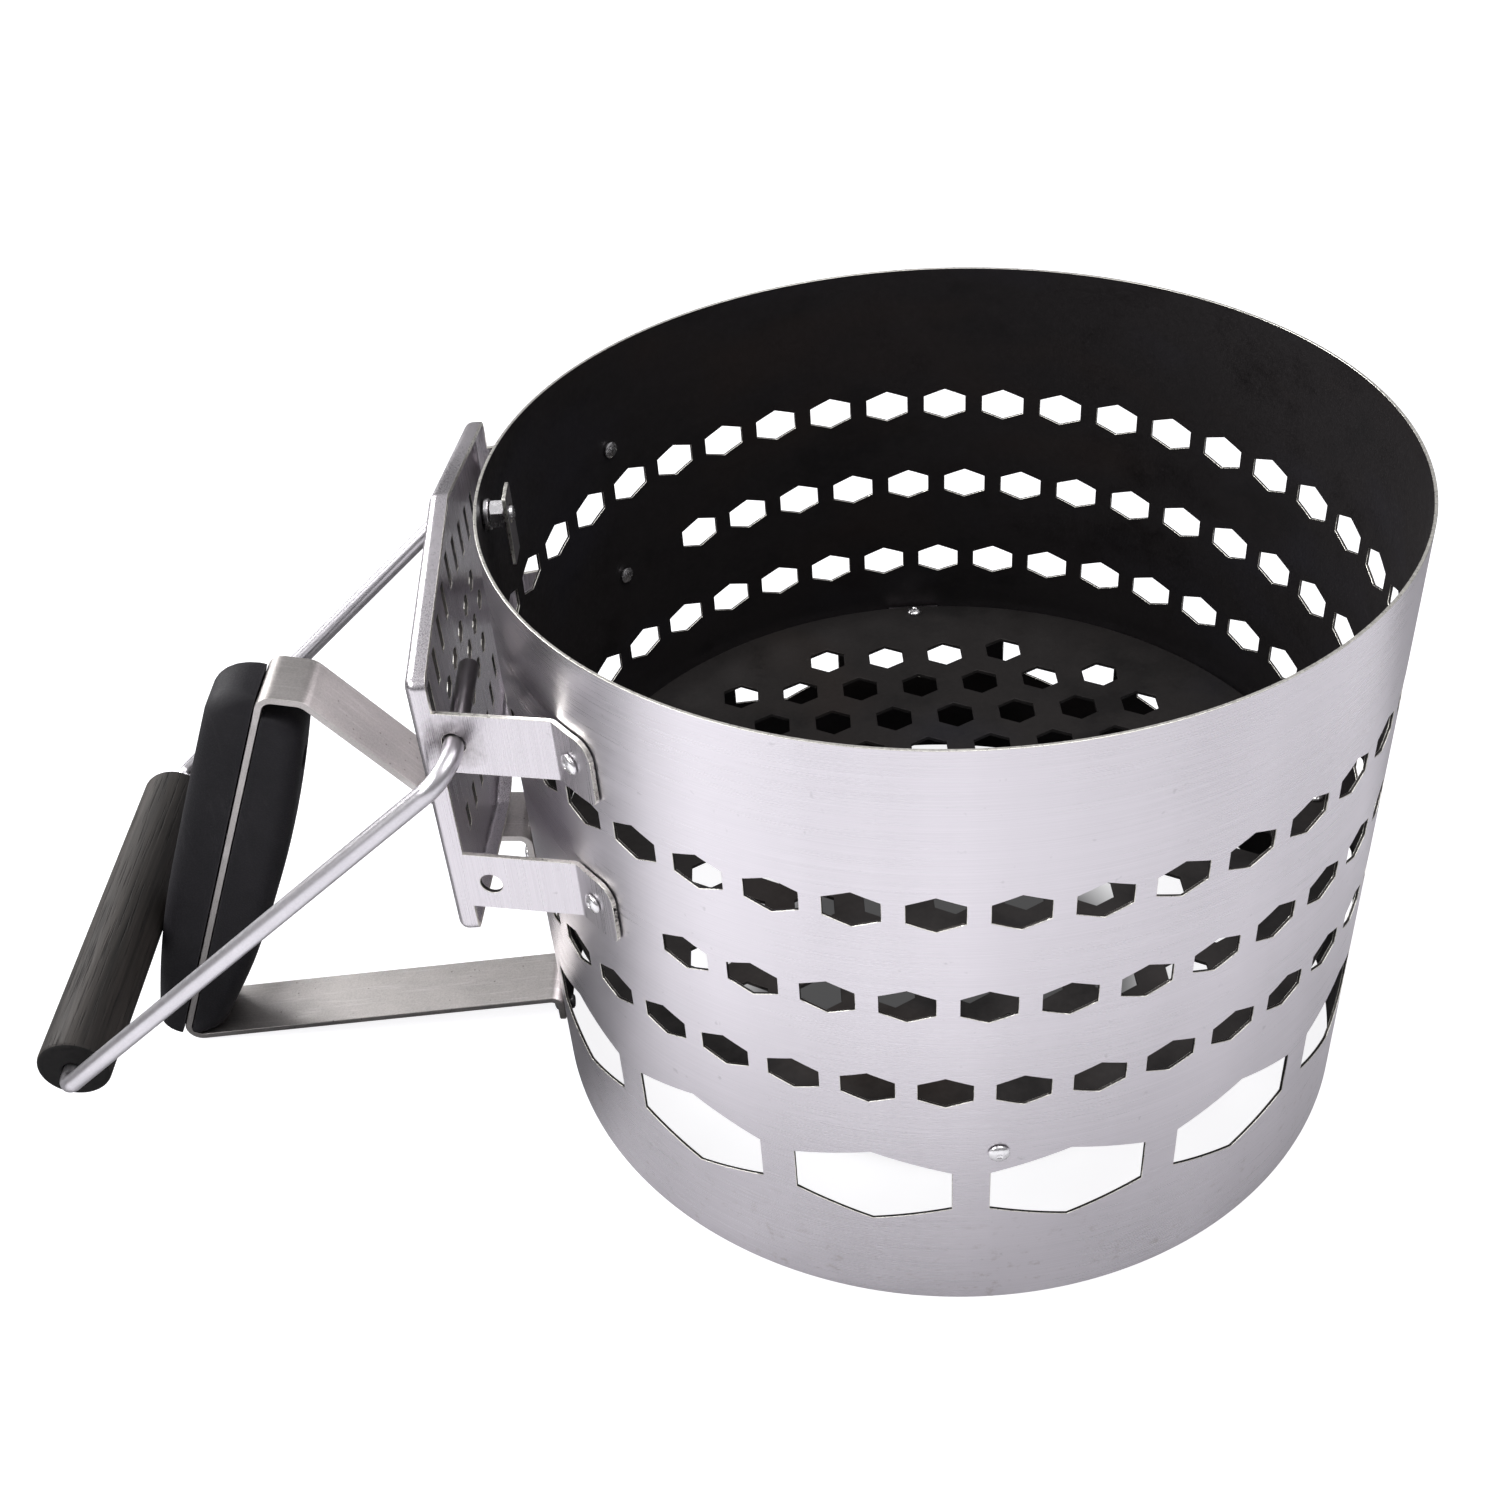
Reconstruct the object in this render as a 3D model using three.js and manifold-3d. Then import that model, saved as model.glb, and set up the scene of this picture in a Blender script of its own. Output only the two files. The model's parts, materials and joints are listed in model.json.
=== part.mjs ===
// A chimney charcoal starter: a perforated steel drum with a riveted heat shield, a strap handle with a two-part
// grip, and a wire bail with a wooden spool that swings in the shield's upper arms.
//
// Millimetres, +Z up. Every piece is modelled with the drum's axis on z and the handle pointing along +x. The last
// lines turn the finished assembly half way round, so that the handle points along -X, and put the origin at the
// centre of its footprint, in the plane that the drum stands on.

import * as THREE from 'three';
import { mergeVertices } from 'three/addons/utils/BufferGeometryUtils.js';
import Module from 'manifold-3d';

const wasm = await Module();
wasm.setup();
const { Manifold } = wasm;

// ---------------------------------------------------------------------------------------------------------------
// Driving dimensions

const gap = 0.3;                 // clearance between pieces that rest on each other

const drumRadius = 140;          // outside
const drumHeight = 219;
const drumWall = 1;
const drumSides = 80;

// Hexagons stretched sideways, with upright left and right sides and a point at the top and bottom.
const ventHexagon = { width: 15.6, height: 12, side: 6.2 };
const windowHexagon = { width: 47.4, height: 31, side: 16.5 };

// Hole rows: angles are in degrees from the handle, counter-clockwise seen from above.
const holeRows = [
  { z: 165.2, pitch: 9, start: 2.65, first: 0, count: 40, hexagon: ventHexagon },
  { z: 131.0, pitch: 9, start: -0.55, first: 6, count: 29, hexagon: ventHexagon },
  { z: 96.5, pitch: 9, start: 3.7, first: 0, count: 40, hexagon: ventHexagon },
  { z: 52.7, pitch: 24, start: 3.8, first: 0, count: 15, hexagon: windowHexagon },
];

const shieldSheet = 1.5;
const shieldFace = 154.6;        // outer face, from the drum's axis
const shieldFlange = 6.2;        // depth of the folded rim, sheet included
const shieldHalfWidth = 76.4;
const shieldCornerRadius = 4;
const shieldTop = 218.5;
const shieldShoulder = 203.4;
const shieldHip = 109.7;
const shieldBottom = 95.3;
const armBend = { radius: 2.4, run: 3 };              // where an arm turns into its foot; the run is in degrees
const footRadius = drumRadius + 0.4;                  // inner face of the feet
const footAngles = { bend: 35.9, rivet: 39.0, end: 42.9 };
const footCorners = { top: 6, bottom: 2.5 };
const armHeight = 20.8;
const arms = [
  { name: 'upper', middle: 182.7, hole: { x: 143.6, z: 183.0 } },
  { name: 'lower', middle: 130.5, hole: { x: 141.4, z: 130.0 } },
];
const armHoleRadius = 3.5;

// The shield's vents: a row of upright slots along the upper and the lower edge, and rows of hexagons between them.
const shieldSlotRows = [
  { each: 4, pitch: 13.5, middle: 191.5, drop: 2.5, width: 4.5, height: 12 },
  { each: 3, pitch: 13.5, middle: 118.5, drop: -2.5, width: 4.5, height: 9 },
];
const shieldHexagons = {
  rows: [5, 6, 5],
  pitch: 15,
  step: 12.5,
  middle: 156,
  hexagon: { width: 8, height: 7, side: 3.5 },
};

const strapWidth = 24;
const strapSheet = 2.5;
const strapRivetSpread = 6.5;    // each side of the middle
const strapFootRivets = [
  { name: 'lower', z: 4.1, throughBracket: false },
  { name: 'upper', z: 79.5, throughBracket: true },
];
// The strap's centre line, from the lower foot to the upper one, as [x, z, bend radius].
const strapLine = [
  [141.9, 0.6, 0],
  [141.9, 10.7, 3.6],
  [283.9, 2.0, 4.5],
  [218.8, 155.2, 4.5],
  [205.8, 152.1, 6],
  [157.2, 91.2, 7],
  [141.9, 89.9, 3.6],
  [141.9, 70.4, 0],
];

const gripWidth = 26;
const gripStart = 3;             // along the slanted part of the strap, from its lower corner
const gripOuter = {
  side: 1, end: 165.3, lean: 0, endRadius: { lower: 3, upper: 12 },
  depth: { most: 17.3, at: 80, below: 0.00108, above: 0.0001 },
};
const gripInner = {
  side: -1, end: 159.5, lean: 0.5, endRadius: { lower: 3, upper: 6 },
  depth: { most: 19.5, at: 90, below: 0.00095, above: 0.00095 },
};
const gripLeanFade = 40;         // above its lower end, where the lean has faded out
const gripLeastWall = 1;         // left beside the strap where the edge radius would take more
const gripEndTaper = 0.4;        // how far the ends narrow, as a share of how far they are rounded
const gripEdgeRadius = 7;
const gripScrewPlaces = { lower: 23.5, upper: 138 };
const gripScrew = { headRadius: 4, headHeight: 3, chamfer: 0.8, shankRadius: 2.2, tip: 10.5, recess: 5 };
const gripSocket = { radius: 1.8, depth: 2 };

const wireRadius = 3;
const pivot = arms[0].hole;      // the bail turns in the upper arms' holes
const wireEnd = 40;              // how close to the middle the wire's turned-in ends come
const bailHalfWidth = { pivot: 91.2, spool: 81 };
const bailBends = { pivot: 10, spool: 5 };
const spoolAxis = { x: 292.4, z: 55.0 };
const spoolRadius = 12;
const spoolHalfLength = 71.5;
const spoolShift = 2.4;          // the spool has slid this far along the wire, towards +y
const spoolBore = 3.4;
const spoolEdge = [[1.8, 0], [0.5, 0.6], [0, 2]];     // its rounded rims: in from the side, in from the end

const grateRadius = 133.5;
const grateSheet = 1.5;
const grateHoleRadius = 7.5;
const grateHolePitch = 23;
const grateHoleLimit = 108;      // holes are kept inside this radius
const bracket = { sheet: 1.5, width: 20, face: 138.1, reach: 124, shelf: 73.5, drop: 9.5, rise: 12.5 };
const bracketRivetZ = 70.4;
const shelfRivetRadius = 129.5;  // place of the shelf rivets, from the drum's axis

const rivetShank = 2;
const rivetHole = 2.3;
const wallRivet = { headRadius: 3.2, headHeight: 1.5, tailRadius: 2.9, tailHeight: 1.1 };
const footRivet = { headRadius: 2.9, headHeight: 1.5, tailRadius: 2.7, tailHeight: 1.1 };

const plateScrew = { z: 210.4, shank: 2.5, hole: 2.9, tip: 1 };
const plateScrewHead = { radius: 4.2, rim: 0.6, crown: 3.2, height: 1.5 };
const plateWasher = { radius: 5, thickness: 1.5 };
const plateNut = { acrossFlats: 8, thickness: 4.5 };
const innerPlate = { width: 11, sheet: 1.2, low: 195, high: 218.4 };

const X = new THREE.Vector3(1, 0, 0);
const Y = new THREE.Vector3(0, 1, 0);
const Z = new THREE.Vector3(0, 0, 1);

// ---------------------------------------------------------------------------------------------------------------
// Materials

function metal(color, roughness) {
  return new THREE.MeshStandardMaterial({ color, roughness, metalness: 1 });
}

const brushedSteel = metal(0xd3cfd6, 0.34);
const strapSteel = metal(0xc2bdb9, 0.42);
const wireSteel = metal(0xc9c6cb, 0.28);
const fastenerSteel = metal(0xe2e0e4, 0.25);
const darkSteel = metal(0x6f6c6c, 0.5);
const blackPlastic = new THREE.MeshStandardMaterial({ color: 0x26262a, roughness: 0.55, metalness: 0 });
const darkWood = new THREE.MeshStandardMaterial({ color: 0x3d3733, roughness: 0.6, metalness: 0 });

// ---------------------------------------------------------------------------------------------------------------
// Solids

function toSolid(geometry) {
  const bare = geometry.clone();
  bare.deleteAttribute('normal');
  bare.deleteAttribute('uv');
  const merged = mergeVertices(bare, 1e-4);
  return new Manifold(new wasm.Mesh({
    numProp: 3,
    vertProperties: Float32Array.from(merged.attributes.position.array),
    triVerts: Uint32Array.from(merged.index.array),
  }));
}

function toGeometry(solid) {
  const mesh = solid.getMesh();
  const geometry = new THREE.BufferGeometry();
  geometry.setAttribute('position', new THREE.BufferAttribute(mesh.vertProperties, 3));
  geometry.setIndex(new THREE.BufferAttribute(mesh.triVerts, 1));
  geometry.computeVertexNormals();
  return geometry;
}

function polygon(points) {
  return new THREE.Shape(points.map(([x, y]) => new THREE.Vector2(x, y)));
}

function rectangle(left, low, right, high) {
  return polygon([[left, low], [right, low], [right, high], [left, high]]);
}

function hexagon({ width, height, side }, centreX = 0, centreY = 0) {
  const x = width / 2;
  return polygon([
    [x, -side / 2], [x, side / 2], [0, height / 2], [-x, side / 2], [-x, -side / 2], [0, -height / 2],
  ].map(([px, py]) => [px + centreX, py + centreY]));
}

function regularPolygon(sides, radius, turn = 0) {
  return Array.from({ length: sides }, (_, i) => {
    const angle = turn + (2 * Math.PI * i) / sides;
    return [radius * Math.cos(angle), radius * Math.sin(angle)];
  });
}

// A straight prism. The outline's own axes run along `across` and `up`, and it is pushed along across x up.
function prism(shape, depth, across, up, origin = new THREE.Vector3(), curveSegments = 6) {
  const along = new THREE.Vector3().crossVectors(across, up);
  const geometry = new THREE.ExtrudeGeometry(shape, { depth, bevelEnabled: false, curveSegments });
  geometry.applyMatrix4(new THREE.Matrix4().makeBasis(across, up, along).setPosition(origin));
  return toSolid(geometry);
}

function plate(shape, low, high, curveSegments = 6) {
  return prism(shape, high - low, X, Y, new THREE.Vector3(0, 0, low), curveSegments);
}

// A solid turned about `direction` through `point`: the profile is [radius, distance along the axis].
function turned(profile, segments, point, direction) {
  const outline = [...profile, profile[0]].map(([r, h]) => new THREE.Vector2(r, h));
  const geometry = new THREE.LatheGeometry(outline, segments);
  const turn = new THREE.Quaternion().setFromUnitVectors(Y, direction);
  geometry.applyMatrix4(new THREE.Matrix4().makeRotationFromQuaternion(turn).setPosition(point));
  const volume = signedVolume(geometry);
  return toSolid(volume < 0 ? flipped(geometry) : geometry);
}

function rod(radius, from, to, sides = 16) {
  const length = from.distanceTo(to);
  const direction = to.clone().sub(from).normalize();
  return turned([[0, 0], [radius, 0], [radius, length], [0, length]], sides, from, direction);
}

function signedVolume(geometry) {
  const position = geometry.attributes.position;
  const index = geometry.index.array;
  const corner = (i) => new THREE.Vector3().fromBufferAttribute(position, index[i]);
  let sum = 0;
  for (let i = 0; i < index.length; i += 3) {
    sum += corner(i).dot(corner(i + 1).cross(corner(i + 2))) / 6;
  }
  return sum;
}

function flipped(geometry) {
  const copy = geometry.clone();
  const index = Array.from(copy.index.array);
  for (let i = 0; i < index.length; i += 3) {
    [index[i], index[i + 1]] = [index[i + 1], index[i]];
  }
  copy.setIndex(index);
  return copy;
}

// A closed solid through a row of rings with the same number of points.
function loft(rings) {
  const count = rings[0].length;
  const points = rings.flat();
  const index = [];
  for (let ring = 0; ring + 1 < rings.length; ring += 1) {
    for (let i = 0; i < count; i += 1) {
      const a = ring * count + i;
      const b = ring * count + ((i + 1) % count);
      index.push(a, b, b + count, a, b + count, a + count);
    }
  }
  const last = (rings.length - 1) * count;
  for (let i = 1; i + 1 < count; i += 1) {
    index.push(0, i + 1, i, last, last + i, last + i + 1);
  }
  const geometry = new THREE.BufferGeometry().setFromPoints(points);
  geometry.setIndex(index);
  return toSolid(signedVolume(geometry) < 0 ? flipped(geometry) : geometry);
}

// ---------------------------------------------------------------------------------------------------------------
// Paths

// A path through the corners, with each corner that has a radius replaced by an arc.
function roundedPath(corners, radii, steps) {
  const path = [];
  corners.forEach((corner, i) => {
    const radius = radii[i];
    if (!radius) {
      path.push(corner.clone());
      return;
    }
    const before = corners[i - 1].clone().sub(corner).normalize();
    const after = corners[i + 1].clone().sub(corner).normalize();
    const half = before.angleTo(after) / 2;
    const bisector = before.clone().add(after).normalize();
    const centre = corner.clone().addScaledVector(bisector, radius / Math.sin(half));
    const start = corner.clone().addScaledVector(before, radius / Math.tan(half)).sub(centre);
    const end = corner.clone().addScaledVector(after, radius / Math.tan(half)).sub(centre);
    const sweep = start.angleTo(end);
    for (let k = 0; k <= steps; k += 1) {
      const t = k / steps;
      const point = centre.clone()
        .addScaledVector(start, Math.sin((1 - t) * sweep) / Math.sin(sweep))
        .addScaledVector(end, Math.sin(t * sweep) / Math.sin(sweep));
      path.push(point);
    }
  });
  return path;
}

function tangentAt(path, i) {
  const before = path[Math.max(i - 1, 0)];
  const after = path[Math.min(i + 1, path.length - 1)];
  const here = path[i];
  const into = here.clone().sub(before).normalize();
  const out = after.clone().sub(here).normalize();
  return into.add(out).normalize();
}

// The outline of a strip of sheet seen edge-on, from its flat centre line.
function stripShape(path, thickness) {
  const sides = [[], []];
  path.forEach((point, i) => {
    const tangent = tangentAt(path, i);
    const normal = new THREE.Vector2(-tangent.y, tangent.x);
    const next = path[Math.min(i + 1, path.length - 1)].clone().sub(path[Math.max(i - 1, 0)]).normalize();
    const first = i === 0 || i === path.length - 1;
    const leg = first ? next : path[i + 1].clone().sub(point).normalize();
    const reach = thickness / 2 / Math.max(0.5, Math.abs(tangent.dot(leg)));
    sides[0].push([point.x + normal.x * reach, point.y + normal.y * reach]);
    sides[1].unshift([point.x - normal.x * reach, point.y - normal.y * reach]);
  });
  return polygon([...sides[0], ...sides[1]]);
}

// A round bar along a path: each ring is carried on from the one before without twist.
function roundBar(path, radius, sides) {
  let normal = new THREE.Vector3(0, 0, 1);
  const rings = path.map((point, i) => {
    const tangent = tangentAt(path, i);
    normal = normal.clone().addScaledVector(tangent, -normal.dot(tangent)).normalize();
    const binormal = new THREE.Vector3().crossVectors(tangent, normal);
    return regularPolygon(sides, radius).map(([u, v]) => (
      point.clone().addScaledVector(normal, u).addScaledVector(binormal, v)
    ));
  });
  return loft(rings);
}

// Directions at an angle from the handle: outward, sideways (counter-clockwise) and a point at a radius and height.
function around(degrees) {
  const angle = THREE.MathUtils.degToRad(degrees);
  const outward = new THREE.Vector3(Math.cos(angle), Math.sin(angle), 0);
  const sideways = new THREE.Vector3(-Math.sin(angle), Math.cos(angle), 0);
  const at = (radius, z, offset = 0) => (
    outward.clone().multiplyScalar(radius).addScaledVector(sideways, offset).setZ(z)
  );
  return { outward, sideways, at };
}

// ---------------------------------------------------------------------------------------------------------------
// Assembly

const assembly = new THREE.Group();
assembly.name = 'charcoal_starter';

function add(name, solid, material) {
  const mesh = new THREE.Mesh(toGeometry(solid), material);
  mesh.name = name;
  assembly.add(mesh);
}

// A rivet whose head sits at `point` and points along `direction`; the tail grips at `grip` behind the head.
function rivet(point, direction, grip, size) {
  const { headRadius, headHeight, tailRadius, tailHeight } = size;
  return turned([
    [0, headHeight], [headRadius * 0.55, headHeight * 0.86], [headRadius * 0.88, headHeight * 0.5],
    [headRadius, 0], [rivetShank, 0], [rivetShank, -grip], [tailRadius, -grip],
    [tailRadius * 0.8, -grip - tailHeight], [0, -grip - tailHeight],
  ], 12, point, direction);
}

// Where each rivet goes through the drum's wall: angle, height and sideways offset.
const wallHoles = [];

// ---------------------------------------------------------------------------------------------------------------
// Heat shield: a six-sided plate with a folded rim, four arms and four feet, all one sheet

function shieldOutline(inset) {
  const slope = (shieldTop - shieldShoulder) / shieldHalfWidth;
  const drop = inset * (Math.sqrt(1 + slope * slope) - slope);
  const peak = inset * Math.sqrt(1 + slope * slope);
  const w = shieldHalfWidth - inset;
  const corners = [
    [w, shieldHip + drop], [w, shieldShoulder - drop], [0, shieldTop - peak],
    [-w, shieldShoulder - drop], [-w, shieldHip + drop], [0, shieldBottom + peak],
  ].map(([y, z]) => new THREE.Vector3(y, z, 0));
  const radius = shieldCornerRadius - inset;
  return corners.flatMap((corner, i) => {
    const neighbours = [corners[(i + 5) % 6], corner, corners[(i + 1) % 6]];
    return roundedPath(neighbours, [0, radius, 0], 4).slice(1, -1);
  }).map((p) => [p.x, p.y]);
}

function shieldCutouts() {
  const shapes = [];
  for (const { each, pitch, middle, drop, width, height } of shieldSlotRows) {
    for (let i = -each; i <= each; i += 1) {
      const y = i * pitch;
      const z = middle - drop * Math.abs(i);
      shapes.push(rectangle(y - width / 2, z - height / 2, y + width / 2, z + height / 2));
    }
  }
  const { rows, pitch, step, middle, hexagon: outline } = shieldHexagons;
  rows.forEach((count, row) => {
    for (let i = 0; i < count; i += 1) {
      shapes.push(hexagon(outline, (i - (count - 1) / 2) * pitch, middle + (row - (rows.length - 1) / 2) * step));
    }
  });
  return shapes;
}

function shieldArm({ middle, hole }, side) {
  const low = middle - armHeight / 2;
  const high = middle + armHeight / 2;
  const foot = footRadius + shieldSheet / 2;
  const footStart = footAngles.bend + armBend.run;
  const arcSteps = 4;
  const line = roundedPath(
    [
      new THREE.Vector3(shieldFace - shieldSheet, shieldHalfWidth - shieldSheet / 2, 0),
      around(footAngles.bend).at(foot, 0),
      around(footStart).at(foot, 0),
    ],
    [0, armBend.radius, 0],
    3,
  );
  for (let k = 1; k <= arcSteps; k += 1) {
    line.push(around(footStart + ((footAngles.end - footStart) * k) / arcSteps).at(foot, 0));
  }
  const flat = line.map((p) => new THREE.Vector2(p.x, p.y));
  let solid = plate(stripShape(flat, shieldSheet), low, high);

  const end = around(footAngles.end);
  const corner = (radius, z, up) => {
    const over = 3;
    const arc = Array.from({ length: 6 }, (_, k) => {
      const angle = (k / 5) * (Math.PI / 2);
      return [-radius + radius * Math.cos(angle), z - up * radius * (1 - Math.sin(angle))];
    });
    const shape = polygon([[over, z - up * radius], ...arc, [-radius, z + up * over], [over, z + up * over]]);
    return prism(shape, 16, end.sideways, Z, end.outward.clone().multiplyScalar(drumRadius - 8));
  };
  solid = solid.subtract(corner(footCorners.top, high, 1)).subtract(corner(footCorners.bottom, low, -1));

  const rivetFrame = around(footAngles.rivet);
  solid = solid.subtract(rod(rivetHole, rivetFrame.at(drumRadius - 5, middle), rivetFrame.at(drumRadius + 8, middle)));
  solid = solid.subtract(rod(
    armHoleRadius,
    new THREE.Vector3(hole.x, shieldHalfWidth - 8, hole.z),
    new THREE.Vector3(hole.x, shieldHalfWidth + 8, hole.z),
    24,
  ));
  return side > 0 ? solid : solid.mirror([0, 1, 0]);
}

function heatShield() {
  const back = shieldFace - shieldSheet;
  const outer = polygon(shieldOutline(0));
  const inner = polygon(shieldOutline(shieldSheet));
  const face = prism(outer, shieldSheet, Y, Z, X.clone().multiplyScalar(back));
  const rim = prism(outer, shieldFlange, Y, Z, X.clone().multiplyScalar(shieldFace - shieldFlange))
    .subtract(prism(inner, shieldFlange + 2, Y, Z, X.clone().multiplyScalar(shieldFace - shieldFlange - 1)));
  const cuts = shieldCutouts().map((shape) => prism(shape, shieldSheet + 2, Y, Z, X.clone().multiplyScalar(back - 1)));
  const folded = [1, -1].flatMap((side) => arms.map((arm) => shieldArm(arm, side)));
  return Manifold.union([face.subtract(Manifold.union(cuts)), rim, ...folded]);
}

add('heat_shield', heatShield(), brushedSteel);

for (const side of [1, -1]) {
  for (const arm of arms) {
    const angle = side * footAngles.rivet;
    const { outward, at } = around(angle);
    const seat = footRadius + shieldSheet + gap;
    const grip = seat - (drumRadius - drumWall - 0.5);
    const sideName = side > 0 ? 'right' : 'left';
    add(`shield_rivet_${arm.name}_${sideName}`, rivet(at(seat, arm.middle), outward, grip, wallRivet), fastenerSteel);
    wallHoles.push({ angle, z: arm.middle, offset: 0, radius: rivetHole });
  }
}

// ---------------------------------------------------------------------------------------------------------------
// Strap handle

const strapCorners = strapLine.map(([x, z]) => new THREE.Vector3(x, z, 0));
const strapRadii = strapLine.map(([, , radius]) => radius);

// The slanted part of the strap carries the grip: `up` runs along it, and `out` points away from the drum.
const slantOrigin = new THREE.Vector3(strapLine[2][0], 0, strapLine[2][1]);
const slantUp = new THREE.Vector3(strapLine[3][0], 0, strapLine[3][1]).sub(slantOrigin).normalize();
const slantOut = new THREE.Vector3().crossVectors(Y, slantUp);

function onSlant(along, out, across = 0) {
  return slantOrigin.clone().addScaledVector(slantUp, along).addScaledVector(slantOut, out)
    .addScaledVector(Y, across);
}

function bentStrap(sheet, width) {
  const path = roundedPath(strapCorners, strapRadii, 4).map((p) => new THREE.Vector2(p.x, p.y));
  return prism(stripShape(path, sheet), width, X, Z, new THREE.Vector3(0, width / 2, 0));
}

function handleStrap() {
  let solid = bentStrap(strapSheet, strapWidth);
  for (const foot of strapFootRivets) {
    for (const side of [1, -1]) {
      const y = side * strapRivetSpread;
      solid = solid.subtract(rod(
        rivetHole,
        new THREE.Vector3(drumRadius - 4, y, foot.z),
        new THREE.Vector3(drumRadius + 6, y, foot.z),
      ));
    }
  }
  for (const along of Object.values(gripScrewPlaces)) {
    solid = solid.subtract(rod(gripScrew.shankRadius + 0.4, onSlant(along, -4), onSlant(along, 4)));
  }
  return solid;
}

add('handle_strap', handleStrap(), strapSteel);

const strapOuterFace = strapLine[0][0] + strapSheet / 2;
for (const foot of strapFootRivets) {
  for (const side of [1, -1]) {
    const y = side * strapRivetSpread;
    const tailFace = foot.throughBracket ? bracket.face - bracket.sheet - gap : drumRadius - drumWall - 0.6;
    const seat = new THREE.Vector3(strapOuterFace + gap, y, foot.z);
    const size = foot.throughBracket ? wallRivet : footRivet;
    const sideName = side > 0 ? 'right' : 'left';
    add(`strap_rivet_${foot.name}_${sideName}`, rivet(seat, X, seat.x - tailFace, size), fastenerSteel);
    wallHoles.push({ angle: 0, z: foot.z, offset: y, radius: rivetHole });
  }
}

// ---------------------------------------------------------------------------------------------------------------
// Grip: two crowned halves with the strap between them, held by two screws from the drum's side

function crownedDepth({ most, at, below, above }, along) {
  return most - (along < at ? below : above) * (along - at) ** 2;
}

// How far the skin is drawn in at a distance from an end that is rounded to a radius.
function roundedEnd(distance, radius) {
  const inside = Math.max(radius - distance, 0);
  return radius - Math.sqrt(radius ** 2 - inside ** 2);
}

// One half. Its lower end leans with the strap's lower arm, and the lean fades out above it.
function gripHalf({ side, end, lean, endRadius, depth }) {
  const seat = strapSheet / 2 + gap;
  const length = end - gripStart;
  const { lower, upper } = endRadius;
  const bodySteps = 6;
  const arcSteps = 4;
  const body = Array.from({ length: bodySteps + 1 }, (_, i) => (
    lower + ((length - lower - upper) * i) / bodySteps
  ));
  const tipShares = [0.75, 0.5, 0.3, 0.15, 0.03];
  const stations = [0.2, 1, ...body, ...tipShares.map((share) => length - upper * share)];
  const rings = stations.map((along) => {
    const inset = roundedEnd(along, lower) + roundedEnd(length - along, upper);
    const reach = crownedDepth(depth, gripStart + along) - inset;
    const half = gripWidth / 2 - inset * gripEndTaper;
    const radius = Math.min(gripEdgeRadius, reach - seat - gripLeastWall);
    const left = [];
    const right = [];
    for (let k = 0; k <= arcSteps; k += 1) {
      const angle = (k / arcSteps) * (Math.PI / 2);
      const across = half - radius + radius * Math.cos(angle);
      const out = reach - radius + radius * Math.sin(angle);
      left.push([-across, out]);
      right.unshift([across, out]);
    }
    const fade = Math.max(0, 1 - along / gripLeanFade);
    return [[-half, seat], ...left, ...right, [half, seat]].map(([across, out]) => (
      onSlant(gripStart + along + lean * fade * out, side * out, across)
    ));
  });
  return loft(rings);
}

// The inner half also makes room for the strap's lower bend.
function innerGrip() {
  let solid = gripHalf(gripInner).subtract(bentStrap(strapSheet + 1.95 * gap, gripWidth + 2));
  for (const along of Object.values(gripScrewPlaces)) {
    const depth = crownedDepth(gripInner.depth, along);
    solid = solid.subtract(rod(gripScrew.shankRadius + gap, onSlant(along, -depth - 2), onSlant(along, 2)));
    solid = solid.subtract(rod(
      gripScrew.headRadius + gap,
      onSlant(along, -depth - 2),
      onSlant(along, -depth + gripScrew.recess),
      20,
    ));
  }
  return solid;
}

function outerGrip() {
  let solid = gripHalf(gripOuter);
  for (const along of Object.values(gripScrewPlaces)) {
    solid = solid.subtract(rod(gripScrew.shankRadius + gap, onSlant(along, 0), onSlant(along, gripScrew.tip + 0.5)));
  }
  return solid;
}

add('grip_outer_half', outerGrip(), blackPlastic);
add('grip_inner_half', innerGrip(), blackPlastic);

for (const [name, along] of Object.entries(gripScrewPlaces)) {
  const seat = -crownedDepth(gripInner.depth, along) + gripScrew.recess - gap;
  const { headRadius, headHeight, chamfer, shankRadius, tip } = gripScrew;
  const screw = turned([
    [0, 0], [headRadius, 0], [headRadius, headHeight - chamfer], [headRadius - chamfer, headHeight], [0, headHeight],
  ], 16, onSlant(along, seat), slantOut.clone().negate())
    .add(rod(shankRadius, onSlant(along, seat - 0.5), onSlant(along, tip), 12));
  const socket = prism(
    polygon(regularPolygon(6, gripSocket.radius)),
    gripSocket.depth + gap,
    Y,
    slantUp.clone().negate(),
    onSlant(along, seat - headHeight - gap),
  );
  add(`grip_screw_${name}`, screw.subtract(socket), fastenerSteel);
}

// ---------------------------------------------------------------------------------------------------------------
// Bail: one wire with its ends turned in through the upper arms, and the spool that turns on it

function bailWire() {
  const { pivot: pivotHalf, spool: spoolHalf } = bailHalfWidth;
  const corners = [
    new THREE.Vector3(pivot.x, wireEnd, pivot.z),
    new THREE.Vector3(pivot.x, pivotHalf, pivot.z),
    new THREE.Vector3(spoolAxis.x, spoolHalf, spoolAxis.z),
    new THREE.Vector3(spoolAxis.x, -spoolHalf, spoolAxis.z),
    new THREE.Vector3(pivot.x, -pivotHalf, pivot.z),
    new THREE.Vector3(pivot.x, -wireEnd, pivot.z),
  ];
  const { pivot: pivotBend, spool: spoolBend } = bailBends;
  return roundBar(roundedPath(corners, [0, pivotBend, spoolBend, spoolBend, pivotBend, 0], 5), wireRadius, 12);
}

add('bail_wire', bailWire(), wireSteel);

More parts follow.
